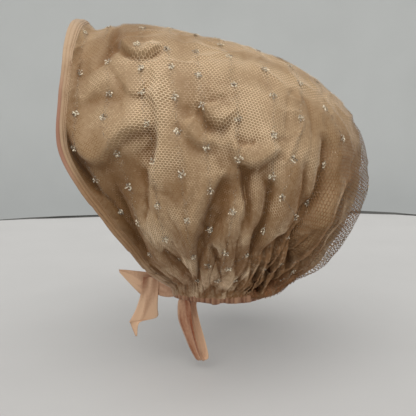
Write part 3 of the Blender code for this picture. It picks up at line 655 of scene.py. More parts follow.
class Sheet:
    """The cloth as a grid of places, with the length of the cloth to each of them."""

    def __init__(self, rows, columns, wrinkle):
        # The rows lie a little closer together near the face edge
        self.back_keys = np.linspace(0, 1, rows) ** 1.08
        self.across_keys = np.linspace(-1, 1, columns)
        back, across = np.meshgrid(self.back_keys, self.across_keys, indexing="ij")
        self.back, self.across = back, across
        base = smooth_bag(back, across)
        self.base = base
        normals = grid_normals(base)
        inside = np.array([0, 0, -0.11])
        self.outward = normals * np.sign((normals * (base - inside)).sum(-1).mean())
        middle = columns // 2
        down = arc_lengths(base, 1)
        self.run_down = down - down[:, middle : middle + 1]
        self.run_back = arc_lengths(base, 0)[:, middle]
        hold = 0.40 + 0.60 * ramp(back, 0.0, 0.06)
        edge = np.maximum(ramp(np.abs(across), 0.97, 1.0), ramp(back, 0.985, 1.0))
        hold *= 1 - edge
        lift = fold_rise(across, base, FOLDS) + gather_rise(back, across, base)
        lift += blurred(edge_rise(across, base, self.outward), 1)
        lift += fold_rise(across, base, CREASES, pointed=True)
        self.lift = lift * hold + self.wrinkles(wrinkle) * hold
        self.places = base + self.outward * self.lift[..., None]
        self.places[..., 2] -= SKIRT * edge
        low = 1 - ramp(base[..., 2] - NECK_EDGE_Z, 0.0, 0.06)
        self.places[..., 2] += CLOTH_LIFT * nape_lift(neck_turn(back, across)) * low
        self.normals = grid_normals(self.places)
        self.normals *= np.sign((self.normals * self.outward).sum(-1).mean())

    def wrinkles(self, height):
        """Small uneven wrinkles, round above and long and narrow below."""
        u = np.broadcast_to(self.run_back[:, None], self.back.shape)
        v = self.run_down
        low = ramp(np.abs(self.across), 0.35, 0.85)
        soft = value_noise(u / 0.022, v / 0.022 + 9, 3) + 0.5 * value_noise(u / 0.010, v / 0.012 + 5, 4)
        turn = neck_turn(self.back, self.across)
        long_ones = 1 - np.abs(2 * value_noise(turn * 34 + 2 * soft, v / 0.050 + 7, 5) - 1)
        bend_u, bend_v = value_noise(u / 0.03 + 2, v / 0.03, 6), value_noise(u / 0.03, v / 0.03 + 4, 7)
        tall = 0.018 + 0.030 * low
        cells = value_noise((u + 0.02 * bend_u) / 0.014, (v + 0.02 * bend_v) / tall, 8)
        soft = soft + 1.6 * (1 - np.abs(2 * cells - 1)) ** 2
        return height * ((soft - 1.05) * 2.0 * (1 - 0.5 * low) - 2.6 * low * long_ones**4)

    def at(self, field, back, across):
        """Reads a field of the grid between its places."""
        i = np.interp(back, self.back_keys, np.arange(len(self.back_keys)))
        j = np.interp(across, self.across_keys, np.arange(len(self.across_keys)))
        i0 = np.clip(i.astype(int), 0, field.shape[0] - 2)
        j0 = np.clip(j.astype(int), 0, field.shape[1] - 2)
        fi, fj = i - i0, j - j0
        if field.ndim == 3:
            fi, fj = fi[..., None], fj[..., None]
        near = field[i0, j0] * (1 - fj) + field[i0, j0 + 1] * fj
        far = field[i0 + 1, j0] * (1 - fj) + field[i0 + 1, j0 + 1] * fj
        return near * (1 - fi) + far * fi


@functools.cache
def cloth():
    """The one sheet that satin, lining, net and binding are made from."""
    satin = look("bonnet_satin")
    return Sheet(satin.rows, satin.columns, satin.wrinkle)


@functools.cache
def painted_shade():
    """Shade painted into the cloth's colour, from 0 to 1: deep in folds, hollows and creases, darker
    lower down, lighter towards the back, and darker or lighter in patches.
    """
    sheet = cloth()
    near = blurred(sheet.lift, 2)
    hollow = np.clip((blurred(sheet.lift, 14) - near) / 0.0035, 0, 1)
    narrow = np.clip((blurred(sheet.lift, 6) - blurred(sheet.lift, 1)) / 0.0014, 0, 1)
    down = np.abs(sheet.across)
    shade = 0.55 * np.clip(-near / 0.009, 0, 1) + 0.35 * hollow
    shade += narrow * (0.20 + 0.35 * ramp(down, 0.40, 0.65) - 0.15 * ramp(down, 0.80, 0.92))
    # Painted shade over the lower part, and painted light towards the back
    shade += 0.24 * ramp(-sheet.base[..., 2], 0.03, 0.25) - 0.12 * ramp(sheet.back, 0.70, 0.95)
    for back, low, reach_back, reach_down, amount in PAINTED_SHADE_PATCHES:
        gap = ((sheet.back - back) / reach_back) ** 2 + ((down - low) / reach_down) ** 2
        shade += amount * np.exp(-gap)
    return np.clip(shade, 0, 1)


@functools.cache
def net_places():
    """The net's places over the cloth's grid: it spans the folds' bottoms and stands off behind."""
    sheet, net = cloth(), look("bonnet_net")
    spread = blurred(sheet.lift, 5)
    bridge = 0.55 * np.maximum(spread - sheet.lift, 0)
    behind = ramp(sheet.back, 0.72, 0.84) * (1 - ramp(sheet.back, 0.93, 1.0))
    behind = behind * (1 - ramp(np.abs(sheet.across), 0.15, 0.50))
    gap = net.gap + bridge + net.stand_off * behind
    places = sheet.places + sheet.outward * gap[..., None]
    return places, sheet.outward


def blurred(field, reach):
    """A field of the grid, smoothed over reach places to each side."""
    kernel = np.exp(-np.linspace(-2, 2, 2 * reach + 1) ** 2)
    kernel /= kernel.sum()
    for axis in (0, 1):
        pads = [(reach, reach) if a == axis else (0, 0) for a in (0, 1)]
        padded = np.pad(field, pads, mode="edge")
        field = np.apply_along_axis(lambda row: np.convolve(row, kernel, mode="valid"), axis, padded)
    return field


# Meshes


def grid_quads(rows, columns, closed=False):
    """Faces between the places of a grid, also from its last column to its first if it is closed."""
    i = np.arange(rows - 1)[:, None]
    j = np.arange(columns if closed else columns - 1)[None, :]
    right = (j + 1) % columns
    a, b = i * columns + j, i * columns + right
    return np.stack([a, a + columns, b + columns, b], -1).reshape(-1, 4)


def new_piece(name, points, faces, material, uv=None, values=None, smooth=True):
    """A mesh piece that rides on the bonnet. uv is per point, in metres of cloth, and values
    names numbers that the material reads at each point."""
    mesh = bpy.data.meshes.new(name)
    points = np.asarray(points, float).reshape(-1, 3)
    mesh.from_pydata(points.tolist(), [], np.asarray(faces).tolist())
    mesh.materials.append(material)
    if uv is not None:
        corners = np.zeros(len(mesh.loops), np.int32)
        mesh.loops.foreach_get("vertex_index", corners)
        layer = mesh.uv_layers.new(name="cloth")
        layer.uv.foreach_set("vector", np.asarray(uv, np.float32).reshape(-1, 2)[corners].ravel())
    for key, numbers in (values or {}).items():
        attribute = mesh.attributes.new(key, "FLOAT", "POINT")
        attribute.data.foreach_set("value", np.asarray(numbers, np.float32).ravel())
    if smooth:
        mesh.shade_smooth()
    piece = bpy.data.objects.new(name, mesh)
    bpy.context.scene.collection.objects.link(piece)
    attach(piece, "root")
    return piece


def strips(starts, ends, up, width):
    """Flat strips from starts to ends, each a quad that faces up."""
    run = ends - starts
    side = np.cross(run, up)
    side /= np.maximum(np.linalg.norm(side, axis=-1, keepdims=True), 1e-12)
    side = side * np.broadcast_to(np.asarray(width) / 2, run.shape[:1])[:, None]
    points = np.stack([starts - side, starts + side, ends + side, ends - side], 1)
    faces = np.arange(len(starts) * 4).reshape(-1, 4)
    return points.reshape(-1, 3), faces


def smooth_path(stops, count):
    """A Catmull-Rom curve through stops, in count steps for each stretch."""
    stops = np.asarray(stops, float)
    padded = np.concatenate([2 * stops[:1] - stops[1:2], stops, 2 * stops[-1:] - stops[-2:-1]])
    pieces = []
    s = np.linspace(0, 1, count, endpoint=False).reshape((-1,) + (1,) * (stops.ndim - 1))
    for k in range(len(stops) - 1):
        a, b, c, d = padded[k : k + 4]
        pieces.append(
            0.5 * (2 * b + (c - a) * s + (2 * a - 5 * b + 4 * c - d) * s**2 + (3 * b - a - 3 * c + d) * s**3)
        )
    pieces.append(stops[-1:])
    return np.concatenate(pieces)


# Materials


def socket_group(name, inputs, outputs):
    """A shader node group with named inputs and outputs, and its two end nodes."""
    tree = bpy.data.node_groups.new(name, "ShaderNodeTree")
    for kind, label, default in inputs:
        socket = tree.interface.new_socket(name=label, in_out="INPUT", socket_type=kind)
        if default is not None:
            socket.default_value = default
    for kind, label in outputs:
        tree.interface.new_socket(name=label, in_out="OUTPUT", socket_type=kind)
    return tree, tree.nodes.new("NodeGroupInput"), tree.nodes.new("NodeGroupOutput")


def set_inputs(tree, node, inputs):
    """Sets a node's inputs, and links those whose value is another node's output."""
    for key, value in inputs.items():
        if isinstance(value, bpy.types.NodeSocket):
            tree.links.new(value, node.inputs[key])
        else:
            node.inputs[key].default_value = value


def add_node(tree, kind, inputs=None, **settings):
    """A new node with its settings and inputs."""
    node = tree.nodes.new(kind)
    for key, value in settings.items():
        setattr(node, key, value)
    set_inputs(tree, node, inputs or {})
    return node


def mix_colour(tree, factor, a, b):
    """A colour between a and b."""
    node = add_node(tree, "ShaderNodeMix", {0: factor, 6: a, 7: b}, data_type="RGBA")
    return node.outputs[2]


def noise(tree, scale, detail):
    """Noise in the piece's own space."""
    space = add_node(tree, "ShaderNodeTexCoord")
    inputs = {"Vector": space.outputs["Object"], "Scale": scale, "Detail": detail}
    return add_node(tree, "ShaderNodeTexNoise", inputs).outputs["Fac"]


def mesh_value(tree, name):
    """A number that the mesh gives at each of its points."""
    return add_node(tree, "ShaderNodeAttribute", attribute_name=name).outputs["Fac"]


def new_material(name):
    """A new material with its node tree and main shader."""
    material = bpy.data.materials.new(name)
    material.use_nodes = True
    tree = material.node_tree
    return material, tree, tree.nodes["Principled BSDF"]


def maths(tree, operation, a, b=0.0, c=0.0):
    """The result of one sum."""
    node = add_node(tree, "ShaderNodeMath", {0: a, 1: b, 2: c}, operation=operation)
    return node.outputs[0]


@functools.cache
def weave_group():
    """A weave of crossed threads, mottled and with small flecks."""
    tree, start, end = socket_group(
        "thread_weave",
        [
            ("NodeSocketColor", "Light", None),
            ("NodeSocketColor", "Deep", None),
            ("NodeSocketFloat", "Threads per metre", 3000.0),
            ("NodeSocketFloat", "Depth", 0.3),
            ("NodeSocketFloat", "Mottling", 0.25),
            ("NodeSocketFloat", "Fold", 0.0),
        ],
        [
            ("NodeSocketColor", "Color"),
            ("NodeSocketFloat", "Roughness"),
            ("NodeSocketVector", "Normal"),
        ],
    )
    places = add_node(tree, "ShaderNodeUVMap", uv_map="cloth")
    closeness = {0: places.outputs[0], "Scale": start.outputs["Threads per metre"]}
    scale = add_node(tree, "ShaderNodeVectorMath", closeness, operation="SCALE")
    parts = add_node(tree, "ShaderNodeSeparateXYZ", {0: scale.outputs[0]})
    warp = maths(tree, "SINE", maths(tree, "MULTIPLY", parts.outputs[0], 2 * math.pi))
    weft = maths(tree, "SINE", maths(tree, "MULTIPLY", parts.outputs[1], 2 * math.pi * 0.6))
    threads = maths(tree, "ADD", maths(tree, "MULTIPLY", warp, 0.3), maths(tree, "MULTIPLY", weft, 0.2))
    blotch = noise(tree, 28.0, 4.0)
    fleck = noise(tree, 420.0, 2.0)
    uneven = maths(tree, "MULTIPLY", maths(tree, "SUBTRACT", blotch, 0.5), start.outputs["Mottling"])
    small = maths(tree, "MULTIPLY", maths(tree, "SUBTRACT", fleck, 0.5), 0.35)
    # The Fold input adds painted shade to the mottling and flecks
    amount = maths(tree, "ADD", maths(tree, "ADD", uneven, small), start.outputs["Fold"])
    amount = add_node(tree, "ShaderNodeClamp", {0: amount})
    colour = mix_colour(tree, amount.outputs[0], start.outputs["Light"], start.outputs["Deep"])
    rough = maths(tree, "MULTIPLY_ADD", fleck, 0.16, 0.40)
    height = maths(tree, "ADD", threads, maths(tree, "MULTIPLY", fleck, 0.6))
    relief = {"Distance": 0.0002, "Height": height, "Strength": start.outputs["Depth"]}
    bump = add_node(tree, "ShaderNodeBump", relief)
    set_inputs(tree, end, {"Color": colour, "Roughness": rough, "Normal": bump.outputs[0]})
    return tree


@functools.cache
def cloth_material(name, light, deep, depth=0.3, mottling=0.25, fold=None, tint=None):
    """Woven cloth. fold names the mesh value that paints shade into the colour, deepest in folds, and
    tint gives another such value with the colour it brings in."""
    material, tree, shader = new_material(name)
    weave = add_node(tree, "ShaderNodeGroup", node_tree=weave_group())
    set_inputs(tree, weave, {
        "Light": (*light, 1.0),
        "Deep": (*deep, 1.0),
        "Depth": depth,
        "Mottling": mottling,
        "Fold": mesh_value(tree, fold) if fold else 0.0,
    })
    colour = weave.outputs["Color"]
    if tint:
        value, tint_colour = tint
        colour = mix_colour(tree, mesh_value(tree, value), colour, (*tint_colour, 1.0))
    set_inputs(tree, shader, {
        "Base Color": colour,
        "Roughness": weave.outputs["Roughness"],
        "Normal": weave.outputs["Normal"],
        "Sheen Weight": 0.25,
        "Sheen Roughness": 0.4,
        "Specular IOR Level": 0.35,
    })
    return material


@functools.cache
def thread_material():
    """Fine synthetic thread of the net in its painted shade, a little paler and darker from place to place.
    """
    net = look("bonnet_net")
    material, tree, shader = new_material("net_thread")
    uneven = maths(tree, "SUBTRACT", noise(tree, 260.0, 2.0), 0.5)
    amount = maths(tree, "ADD", mesh_value(tree, "shade"), uneven)
    amount = add_node(tree, "ShaderNodeClamp", {0: amount}).outputs[0]
    colour = mix_colour(tree, amount, (*net.thread, 1.0), (*net.shaded, 1.0))
    set_inputs(tree, shader, {"Base Color": colour, "Roughness": 0.6, "Specular IOR Level": 0.2})
    return material


@functools.cache
def glitter_material():
    """Glitter flakes, each painted between dark and pale as painted glints."""
    material, tree, shader = new_material("silver_glitter")
    value = mesh_value(tree, "glint")
    colour = mix_colour(tree, value, (0.13, 0.08, 0.045, 1.0), (1.0, 0.90, 0.70, 1.0))
    rough = maths(tree, "MULTIPLY_ADD", value, 0.15, 0.30)
    set_inputs(tree, shader, {"Base Color": colour, "Roughness": rough})
    return material


# Pieces


def build_satin():
    """The outer satin, fine enough for its folds, and the plainer lining inside it."""
    sheet, satin = cloth(), look("bonnet_satin")
    rows, columns = sheet.back.shape
    uv = np.stack([np.broadcast_to(sheet.run_back[:, None], sheet.back.shape), sheet.run_down], -1)
    above_neck = sheet.base[..., 2] - NECK_EDGE_Z
    bunched = 0.55 * (1 - ramp(above_neck, 0.0, 0.035))
    bunched = bunched + 0.20 * (1 - ramp(above_neck, 0.02, 0.07))
    # The fold value paints shade into the satin's colour; the bunched value brings in the colour of the
    # cloth bunched at the neck
    outer = new_piece(
        "satin_shell",
        sheet.places,
        grid_quads(rows, columns),
        cloth_material(
            "peach_satin", tuple(satin.light), tuple(satin.deep), fold="fold",
            tint=("bunched", tuple(satin.bunched)),
        ),
        uv,
        {"fold": painted_shade(), "bunched": bunched},
    )
    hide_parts("satin_body")
    inner = sheet.places - sheet.normals * SATIN_THICKNESS
    inner = np.stack([blurred(inner[..., k], 3) for k in range(3)], -1)[::2, ::2]
    lining = new_piece(
        "satin_lining",
        inner,
        grid_quads(*inner.shape[:2])[:, ::-1],
        cloth_material("peach_lining", tuple(satin.light), tuple(satin.deep), mottling=0.35),
        uv[::2, ::2],
    )
    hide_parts("satin_body")


def honeycomb(width, length, cell):
    """Starts and ends of the sides of six-sided cells that fill a rectangle round v = 0."""
    side = cell / math.sqrt(3)
    rows = int(length / side / 3) + 1
    i, j = np.meshgrid(np.arange(int(width / cell) + 1), np.arange(-rows, rows))
    corner = np.stack([i * cell, j * 3 * side], -1).reshape(-1, 2).astype(float)
    a, b = np.array([0.0, 0.0]), np.array([cell / 2, side / 2])
    c, d = np.array([cell / 2, 1.5 * side]), np.array([0.0, 2 * side])
    across, up = np.array([cell, 0.0]), np.array([0.0, 3 * side])
    pairs = ((a, b), (b, a + across), (b, c), (c, d), (c, d + across), (d, a + up))
    starts = np.concatenate([corner + p for p, _ in pairs])
    ends = np.concatenate([corner + q for _, q in pairs])
    return starts, ends


def cloth_to_shares(places):
    """Turns metres of cloth, back from the face edge and down from the ridge, into shares."""
    sheet = cloth()
    back = np.interp(places[:, 0], sheet.run_back, sheet.back_keys)
    i = np.interp(back, sheet.back_keys, np.arange(len(sheet.back_keys)))
    # Every row's shares at the same even steps down each side, and 2 beyond its edge
    furthest, steps = 0.5, 600
    grid_v = np.linspace(-furthest, furthest, steps + 1)
    table = [np.interp(grid_v, row, sheet.across_keys, left=-2, right=2) for row in sheet.run_down]
    table = np.array(table)
    i0 = np.clip(i.astype(int), 0, len(table) - 2)
    fi = i - i0
    j = np.clip((places[:, 1] + furthest) * steps, 0, steps - 0.001)
    j0 = j.astype(int)
    fj = j - j0
    near = table[i0, j0] * (1 - fj) + table[i0, j0 + 1] * fj
    far = table[i0 + 1, j0] * (1 - fj) + table[i0 + 1, j0 + 1] * fj
    return back, near * (1 - fi) + far * fi


def bright_spot(back, across):
    """How near a place is to the puff where the net catches the light."""
    middle_back, middle_down, reach_back, reach_down = BRIGHT_SPOT
    gap = ((back - middle_back) / reach_back) ** 2
    return np.exp(-gap - ((np.abs(across) - middle_down) / reach_down) ** 2)


def thread_shade(back, across):
    """Painted shade that makes the threads faint: they stand out, painted bright, over the middle
    of the side, and only in places.
    """
    down = np.abs(across)
    faint = np.maximum(0.62 * (1 - ramp(back, 0.16, 0.22)), 0.40 * ramp(back, 0.48, 0.62))
    faint = np.maximum(faint, 0.35 * ramp(down, 0.48, 0.62)) + 0.45 * ramp(back, 0.66, 0.80)
    faint = faint + 0.10 * ramp(back, 0.24, 0.28) - 0.75 * bright_spot(back, across)
    return faint + 1.1 * (value_noise(back * 18, across * 20 + 30, 51) - 0.45)


def build_net():
    """The net as flat threads round six-sided cells, in a left and a right piece."""
    sheet, net = cloth(), look("bonnet_net")
    places, outward = net_places()
    deepest = np.abs(sheet.run_down).max()
    starts, ends = honeycomb(sheet.run_back[-1], deepest * (1 + NET_CROWDING * deepest / 2), net.cell)
    for corners in (starts, ends):
        down = corners[:, 1]
        crowded = (np.sqrt(1 + 2 * NET_CROWDING * np.abs(down)) - 1) / NET_CROWDING
        corners[:, 1] = np.sign(down) * crowded
    back_a, across_a = cloth_to_shares(starts)
    back_b, across_b = cloth_to_shares(ends)
    inside = (np.abs(across_a) <= 1) & (np.abs(across_b) <= 1)
    inside &= ends[:, 0] <= sheet.run_back[-1]
    for name, side in (("net_left", across_a < 0), ("net_right", across_a >= 0)):
        keep = inside & side
        p = sheet.at(places, back_a[keep], across_a[keep])
        q = sheet.at(places, back_b[keep], across_b[keep])
        up = sheet.at(outward, back_a[keep], across_a[keep])
        # The threads take most of the satin's painted shade, then their own painted light and shade
        shade = 0.8 * sheet.at(painted_shade(), back_a[keep], across_a[keep])
        shade += thread_shade(back_a[keep], across_a[keep])
        width = net.thread_width * (1 + 2.0 * ramp(back_a[keep], 0.62, 0.85))
        width *= 1 + 0.45 * bright_spot(back_a[keep], across_a[keep])
        points, faces = strips(p, q, up, width)
        values = {"shade": np.repeat(np.clip(shade, 0, 1), 4)}
        piece = new_piece(name, points, faces, thread_material(), values=values, smooth=False)
        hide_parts("net_overlay")


def flower_places():
    """All flowers as shares, left and right, with the columns of the left mirrored."""
    rows = []
    for side in (-1, 1):
        for column in FLOWER_COLUMNS:
            rows.append(np.array([(back, side * down) for back, down in column]))
    return rows


def level_side(up):
    """The level direction on the cloth where it faces up."""
    side = np.cross(up, np.array([0.0, 0.0, 1.0]))
    return side / np.linalg.norm(side)


def build_flowers():
    """Each flower is a ring of petals covered with small tilted flakes, on a thin trail of them."""
    sheet, net = cloth(), look("bonnet_net")
    places, outward = net_places()
    chance = np.random.default_rng(21)
    points, shades = [], []

    def add_flake(seat, up, t, b, size, shade):
        lean = up + t * chance.normal(0, 0.55) + b * chance.normal(0, 0.55)
        lean /= np.linalg.norm(lean)
        s = np.cross(lean, t + b * chance.normal(0, 1))
        s /= np.linalg.norm(s)
        r = np.cross(lean, s)
        points.extend([seat - s * size - r * size, seat + s * size - r * size])
        points.extend([seat + s * size + r * size, seat - s * size + r * size])
        shades.extend([float(np.clip(shade, 0, 1))] * 4)

    for column in flower_places():
        centres = sheet.at(places, column[:, 0], column[:, 1])
        ups = sheet.at(outward, column[:, 0], column[:, 1])
        steps = np.arange(0, len(column) - 1, 0.02) + chance.uniform(0, 0.02)
        trail = [np.interp(steps, np.arange(len(column)), column[:, k]) for k in (0, 1)]
        trail[0] = trail[0] + chance.normal(0, TRAIL_SPREAD, len(steps))
        seats, facings = sheet.at(places, *trail), sheet.at(outward, *trail)
        for seat, up in zip(seats, facings):
            t = level_side(up)
            size = net.flower * chance.uniform(0.05, 0.10)
            # The trail's flakes are painted mostly dark, with a few painted glints
            add_flake(seat + up * 0.0003, up, t, np.cross(up, t), size, chance.normal(0.15, 0.3))
        for centre, up in zip(centres, ups):
            t = level_side(up)
            b = np.cross(up, t)
            turn = chance.uniform(0, math.pi)
            spots = [(0.0, 0.0)]
            for k in range(PETALS):
                angle = turn + k * 2 * math.pi / PETALS + chance.uniform(-0.2, 0.2)
                reach = net.flower * chance.uniform(0.6, 0.85)
                spots.append((reach * math.cos(angle), reach * math.sin(angle)))
            for x, y in spots:
                # Painted glints: each petal's flakes are painted paler and darker at random
                bright = chance.uniform(0.15, 1.1)
                for _ in range(PETAL_FLAKES):
                    dx, dy = chance.normal(0, net.flower * 0.16, 2)
                    seat = centre + t * (x + dx) + b * (y + dy) + up * chance.uniform(0.0002, 0.0007)
                    size = net.flower * chance.uniform(0.10, 0.17)
                    add_flake(seat, up, t, b, size, bright + chance.normal(0, 0.35))
    piece = new_piece(
        "glitter_flowers",
        points,
        np.arange(len(points)).reshape(-1, 4),
        glitter_material(),
        values={"glint": shades},
        smooth=False,
    )


def edge_stations(count, spans, widen=1.0):
    """Surface places and normals along the face edge at given distances back from it."""
    across = np.linspace(-1, 1, count)
    sheet = cloth()
    tries = np.linspace(0, 0.25, 126)
    walk = sheet.at(sheet.places, *np.meshgrid(tries, across, indexing="ij"))
    lengths = arc_lengths(walk, 0).T
    widen = np.broadcast_to(widen, count)
    back = [
        [np.interp(span * wider, length, tries) for wider, length in zip(widen, lengths)]
        for span in spans
    ]
    back = np.array(back)
    wide = np.broadcast_to(across, back.shape)
    return sheet.at(sheet.places, back, wide), sheet.at(sheet.normals, back, wide)


def build_binding():
    """The bound edge: a rolled outer lip, a flat band and three stitched ridges, then its fold
    to the inside."""
    trim = look("bonnet_trim")
    count, roll_count, roll_height, weave_length = 420, 7, 0.0010, 0.62
    down = np.abs(np.linspace(-1, 1, count))
    spans, heights = np.array(BINDING_OUTSIDE + BINDING_INSIDE).T / 1000
    widen = 0.85 - 0.08 * ramp(down, 0.5, 0.6) + 0.35 * (1 - ramp(down, 0.10, 0.36))
    surface, normals = edge_stations(count, spans, widen)
    first, second = edge_stations(count, [0.0, 0.002])[0]
    out = first - second
    out /= np.linalg.norm(out, axis=-1, keepdims=True)
    run = np.linspace(0, 1, count) * weave_length
    pucker = 1 + 0.10 * (value_noise(run / 0.006, 1.0, 31) - 0.5)
    grid = surface + normals * (heights[:, None] * pucker)[..., None]
    cut = len(BINDING_OUTSIDE)
    roll = []
    for angle in np.linspace(0.5, math.pi - 0.5, roll_count):
        middle = (grid[cut - 1] + grid[cut]) / 2
        arm = (grid[cut - 1] - grid[cut]) / 2
        roll.append(middle + arm * math.cos(angle) + out * roll_height * math.sin(angle))
    grid = np.concatenate([grid[:cut], roll, grid[cut:]])
    grid[..., 2] = np.maximum(grid[..., 2], NECK_EDGE_Z - CASING_HEIGHT)
    span = np.concatenate([spans[:cut], np.zeros(roll_count), spans[cut:]])
    inner = np.ones(roll_count + len(BINDING_INSIDE))
    edge = np.concatenate([ramp(-spans[:cut], -0.0032, -0.0026), inner])
    pink = edge[:, None] * ramp(down, 0.30, 0.42) * (1 - 0.9 * ramp(down, 0.51, 0.60))
    # Painted shade and mottling of the binding: darker over a band part way down and over its lower half,
    # painted lighter again at its lower end, and paler and darker at random along it
    shaded_and_mottled = 0.35 * ramp(down, 0.26, 0.32) * (1 - ramp(down, 0.38, 0.46))
    shaded_and_mottled = shaded_and_mottled + 0.75 * ramp(down, 0.46, 0.60) - 0.55 * ramp(down, 0.78, 0.92)
    shaded_and_mottled = shaded_and_mottled + 0.35 * (value_noise(run / 0.011, 6.0, 33) - 0.5)
    grooves = np.interp(span, *zip(*BINDING_GROOVES))
    uv = np.stack(np.broadcast_arrays(span[:, None], run[None, :]), -1)
    piece = new_piece(
        "bound_edge",
        grid,
        grid_quads(*grid.shape[:2]),
        cloth_material(
            "pink_binding", tuple(trim.binding), tuple(trim.shaded_and_mottled), depth=0.5, mottling=0.6,
            fold="shaded_and_mottled", tint=("edge", tuple(trim.edge)),
        ),
        uv,
        {"edge": pink, "shaded_and_mottled": shaded_and_mottled[None, :] + grooves[:, None]},
    )
    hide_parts("face_binding", "binding_cord")


def build_casing():
    """The puckered band round the neck."""
    trim = look("bonnet_trim")
    low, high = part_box("neck_casing")
    turns = np.linspace(CHIN_TURN, 2 * math.pi - CHIN_TURN, 700)
    centre = neck_oval(turns, 0.0)
    run = np.gradient(centre, axis=0)
    run /= np.linalg.norm(run, axis=-1, keepdims=True)
    out = np.cross(run, np.array([0.0, 0.0, 1.0]))
    uneven = value_noise(turns * 22, 5.0, 41)
    puckers = 0.6 * np.sin(GATHER_COUNT * 2.6 * turns + 5 * uneven) + 0.9 * (uneven - 0.5)
    middle, half = (low.z + high.z) / 2, (high.z - low.z) / 2
    grid, hollows = [], []
    for angle in np.linspace(0, 2 * math.pi, CASING_SIDES, endpoint=False):
        side, level = math.cos(angle), math.sin(angle)
        wave = puckers * CASING_PUCKER * (0.4 + abs(side))
        place = centre + out * (CASING_SWELL * np.sign(side) * abs(side) ** 0.6 + wave)[:, None]
        sag = CASING_SAG * (value_noise(turns * 9, 8.0, 42) - 0.5)
        place[:, 2] = middle + np.sign(level) * abs(level) ** 0.7 * half + sag + nape_lift(turns)
        grid.append(place)
        # Painted shade: the casing is darker in its puckers and on its lower side
        hollows.append(0.35 - 0.5 * puckers - 0.35 * level)
    grid, hollows = np.stack(grid, 1), np.stack(hollows, 1)
    ends = [np.broadcast_to(grid[k].mean(0), grid[k].shape)[None] for k in (0, -1)]
    grid = np.concatenate([ends[0], grid, ends[1]])
    hollows = np.concatenate([hollows[:1], hollows, hollows[-1:]])
    length = arc_lengths(grid[:, :1], 0)[:, 0]
    uv = np.stack(np.broadcast_arrays(np.linspace(0, 0.024, CASING_SIDES)[None, :], length[:, None]), -1)
    piece = new_piece(
        "neck_band",
        grid,
        grid_quads(*grid.shape[:2], closed=True),
        cloth_material(
            "pink_casing", tuple(trim.casing), tuple(trim.casing_deep), depth=0.6, mottling=0.5,
            fold="hollow",
        ),
        uv,
        {"hollow": hollows},
    )
    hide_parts("neck_casing")


def ribbon_material():
    """The one material of all ribbon pieces."""
    trim = look("bonnet_trim")
    light, deep = tuple(trim.ribbon), tuple(trim.ribbon_deep)
    return cloth_material("pink_ribbon", light, deep, depth=0.4, mottling=0.3, fold="shade")


def ribbon_piece(name, rows, node, seed, shades, folds=0.0006):
    """A ribbon through rows of two edge points, with soft lengthwise folds. shades says how much
    shade is painted into its colour from its start to its end."""
    steps, across = 10, 14
    path = smooth_path(rows, steps)
    s = np.linspace(0, 1, across)[None, :, None]
    grid = path[:, :1] * (1 - s) + path[:, 1:2] * s
    normals = grid_normals(grid)
    length = arc_lengths(grid, 0)[:, across // 2]
    width = np.linspace(0, RIBBON_WIDTH, across)
    u, v = np.meshgrid(length, width, indexing="ij")
    wave = value_noise(v / 0.005 + 3, u / 0.030, seed) - 0.5
    wave += 0.4 * (value_noise(v / 0.0025, u / 0.020, seed + 1) - 0.5)
    grid = grid + normals * (wave * folds * 2)[..., None]
    uv = np.stack([u, v], -1)
    # Painted shade along the ribbon, lighter on the crests of its folds and darker in their troughs
    shade = np.interp(u / length[-1], np.linspace(0, 1, len(shades)), shades) - 0.9 * wave
    faces = grid_quads(*grid.shape[:2])
    piece = new_piece(name, grid, faces, ribbon_material(), uv, {"shade": shade})
    wall = piece.modifiers.new("wall", "SOLIDIFY")
    wall.thickness = RIBBON_THICKNESS
    wall.offset = 0.0
    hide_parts(node)


def hanging_rows(rows, start, length):
    """A ribbon's table as edge points: forward is -Y, down is -Z and side is +X."""
    result = []
    for row in rows:
        edges = []
        for forward, down, side in row:
            edges.append(start + np.array([side * RIBBON_WIDTH, -forward * length, -down * length]))
        result.append(edges)
    return np.array(result)


def build_ribbons():
    """The ties, their knot, the bow's wing and tail, and the loop that hangs from the corner."""
    low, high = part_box("neck_casing")
    corner = neck_oval(np.array([CHIN_TURN]), (low.z + high.z) / 2)[0]
    knot = corner + np.array(KNOT_FROM_CORNER)
    for name, side in (("tie_near", 1.0), ("tie_far", -1.0)):
        end = corner * np.array([side, 1.0, 1.0])
        way = np.array(STRAP_MEETS_KNOT[name])
        meeting = knot + way * (STRAP_IN_KNOT / np.linalg.norm(way / np.array(KNOT_RADII)))
        rows = []
        for share, spread in (STRAP_SPREAD if name == "tie_far" else NEAR_STRAP_SPREAD):
            place = end + (meeting - end) * share
            drop = np.array([0.0, 0.0, -STRAP_SAG * RIBBON_WIDTH * math.sin(math.pi * share)])
            half = np.array([0.0, 0.0, spread * RIBBON_WIDTH / 2])
            above = 1 + 2 * (1 - share) if name == "tie_near" else 1
            rows.append((place + half * above + drop, place - half + drop))
        ribbon_piece("ribbon_" + name, rows, name, 3, STRAP_SHADES, 0.0009)
    rows = hanging_rows(WING_ROWS, knot, WING_LENGTH)
    ribbon_piece("ribbon_wing", rows, "bow_wing", 5, WING_SHADES)
    rows = hanging_rows(TAIL_ROWS, knot, TAIL_LENGTH)
    ribbon_piece("ribbon_tail", rows, "bow_tail", 7, TAIL_SHADES)
    start = neck_oval(np.array([LOOP_TURN]), low.z + LOOP_IN_CASING)[0]
    rows = hanging_rows(LOOP_ROWS, start, LOOP_DROP)
    ribbon_piece("ribbon_loop", rows, "hanging_loop", 9, LOOP_SHADES, 0.0012)
    build_knot(knot)


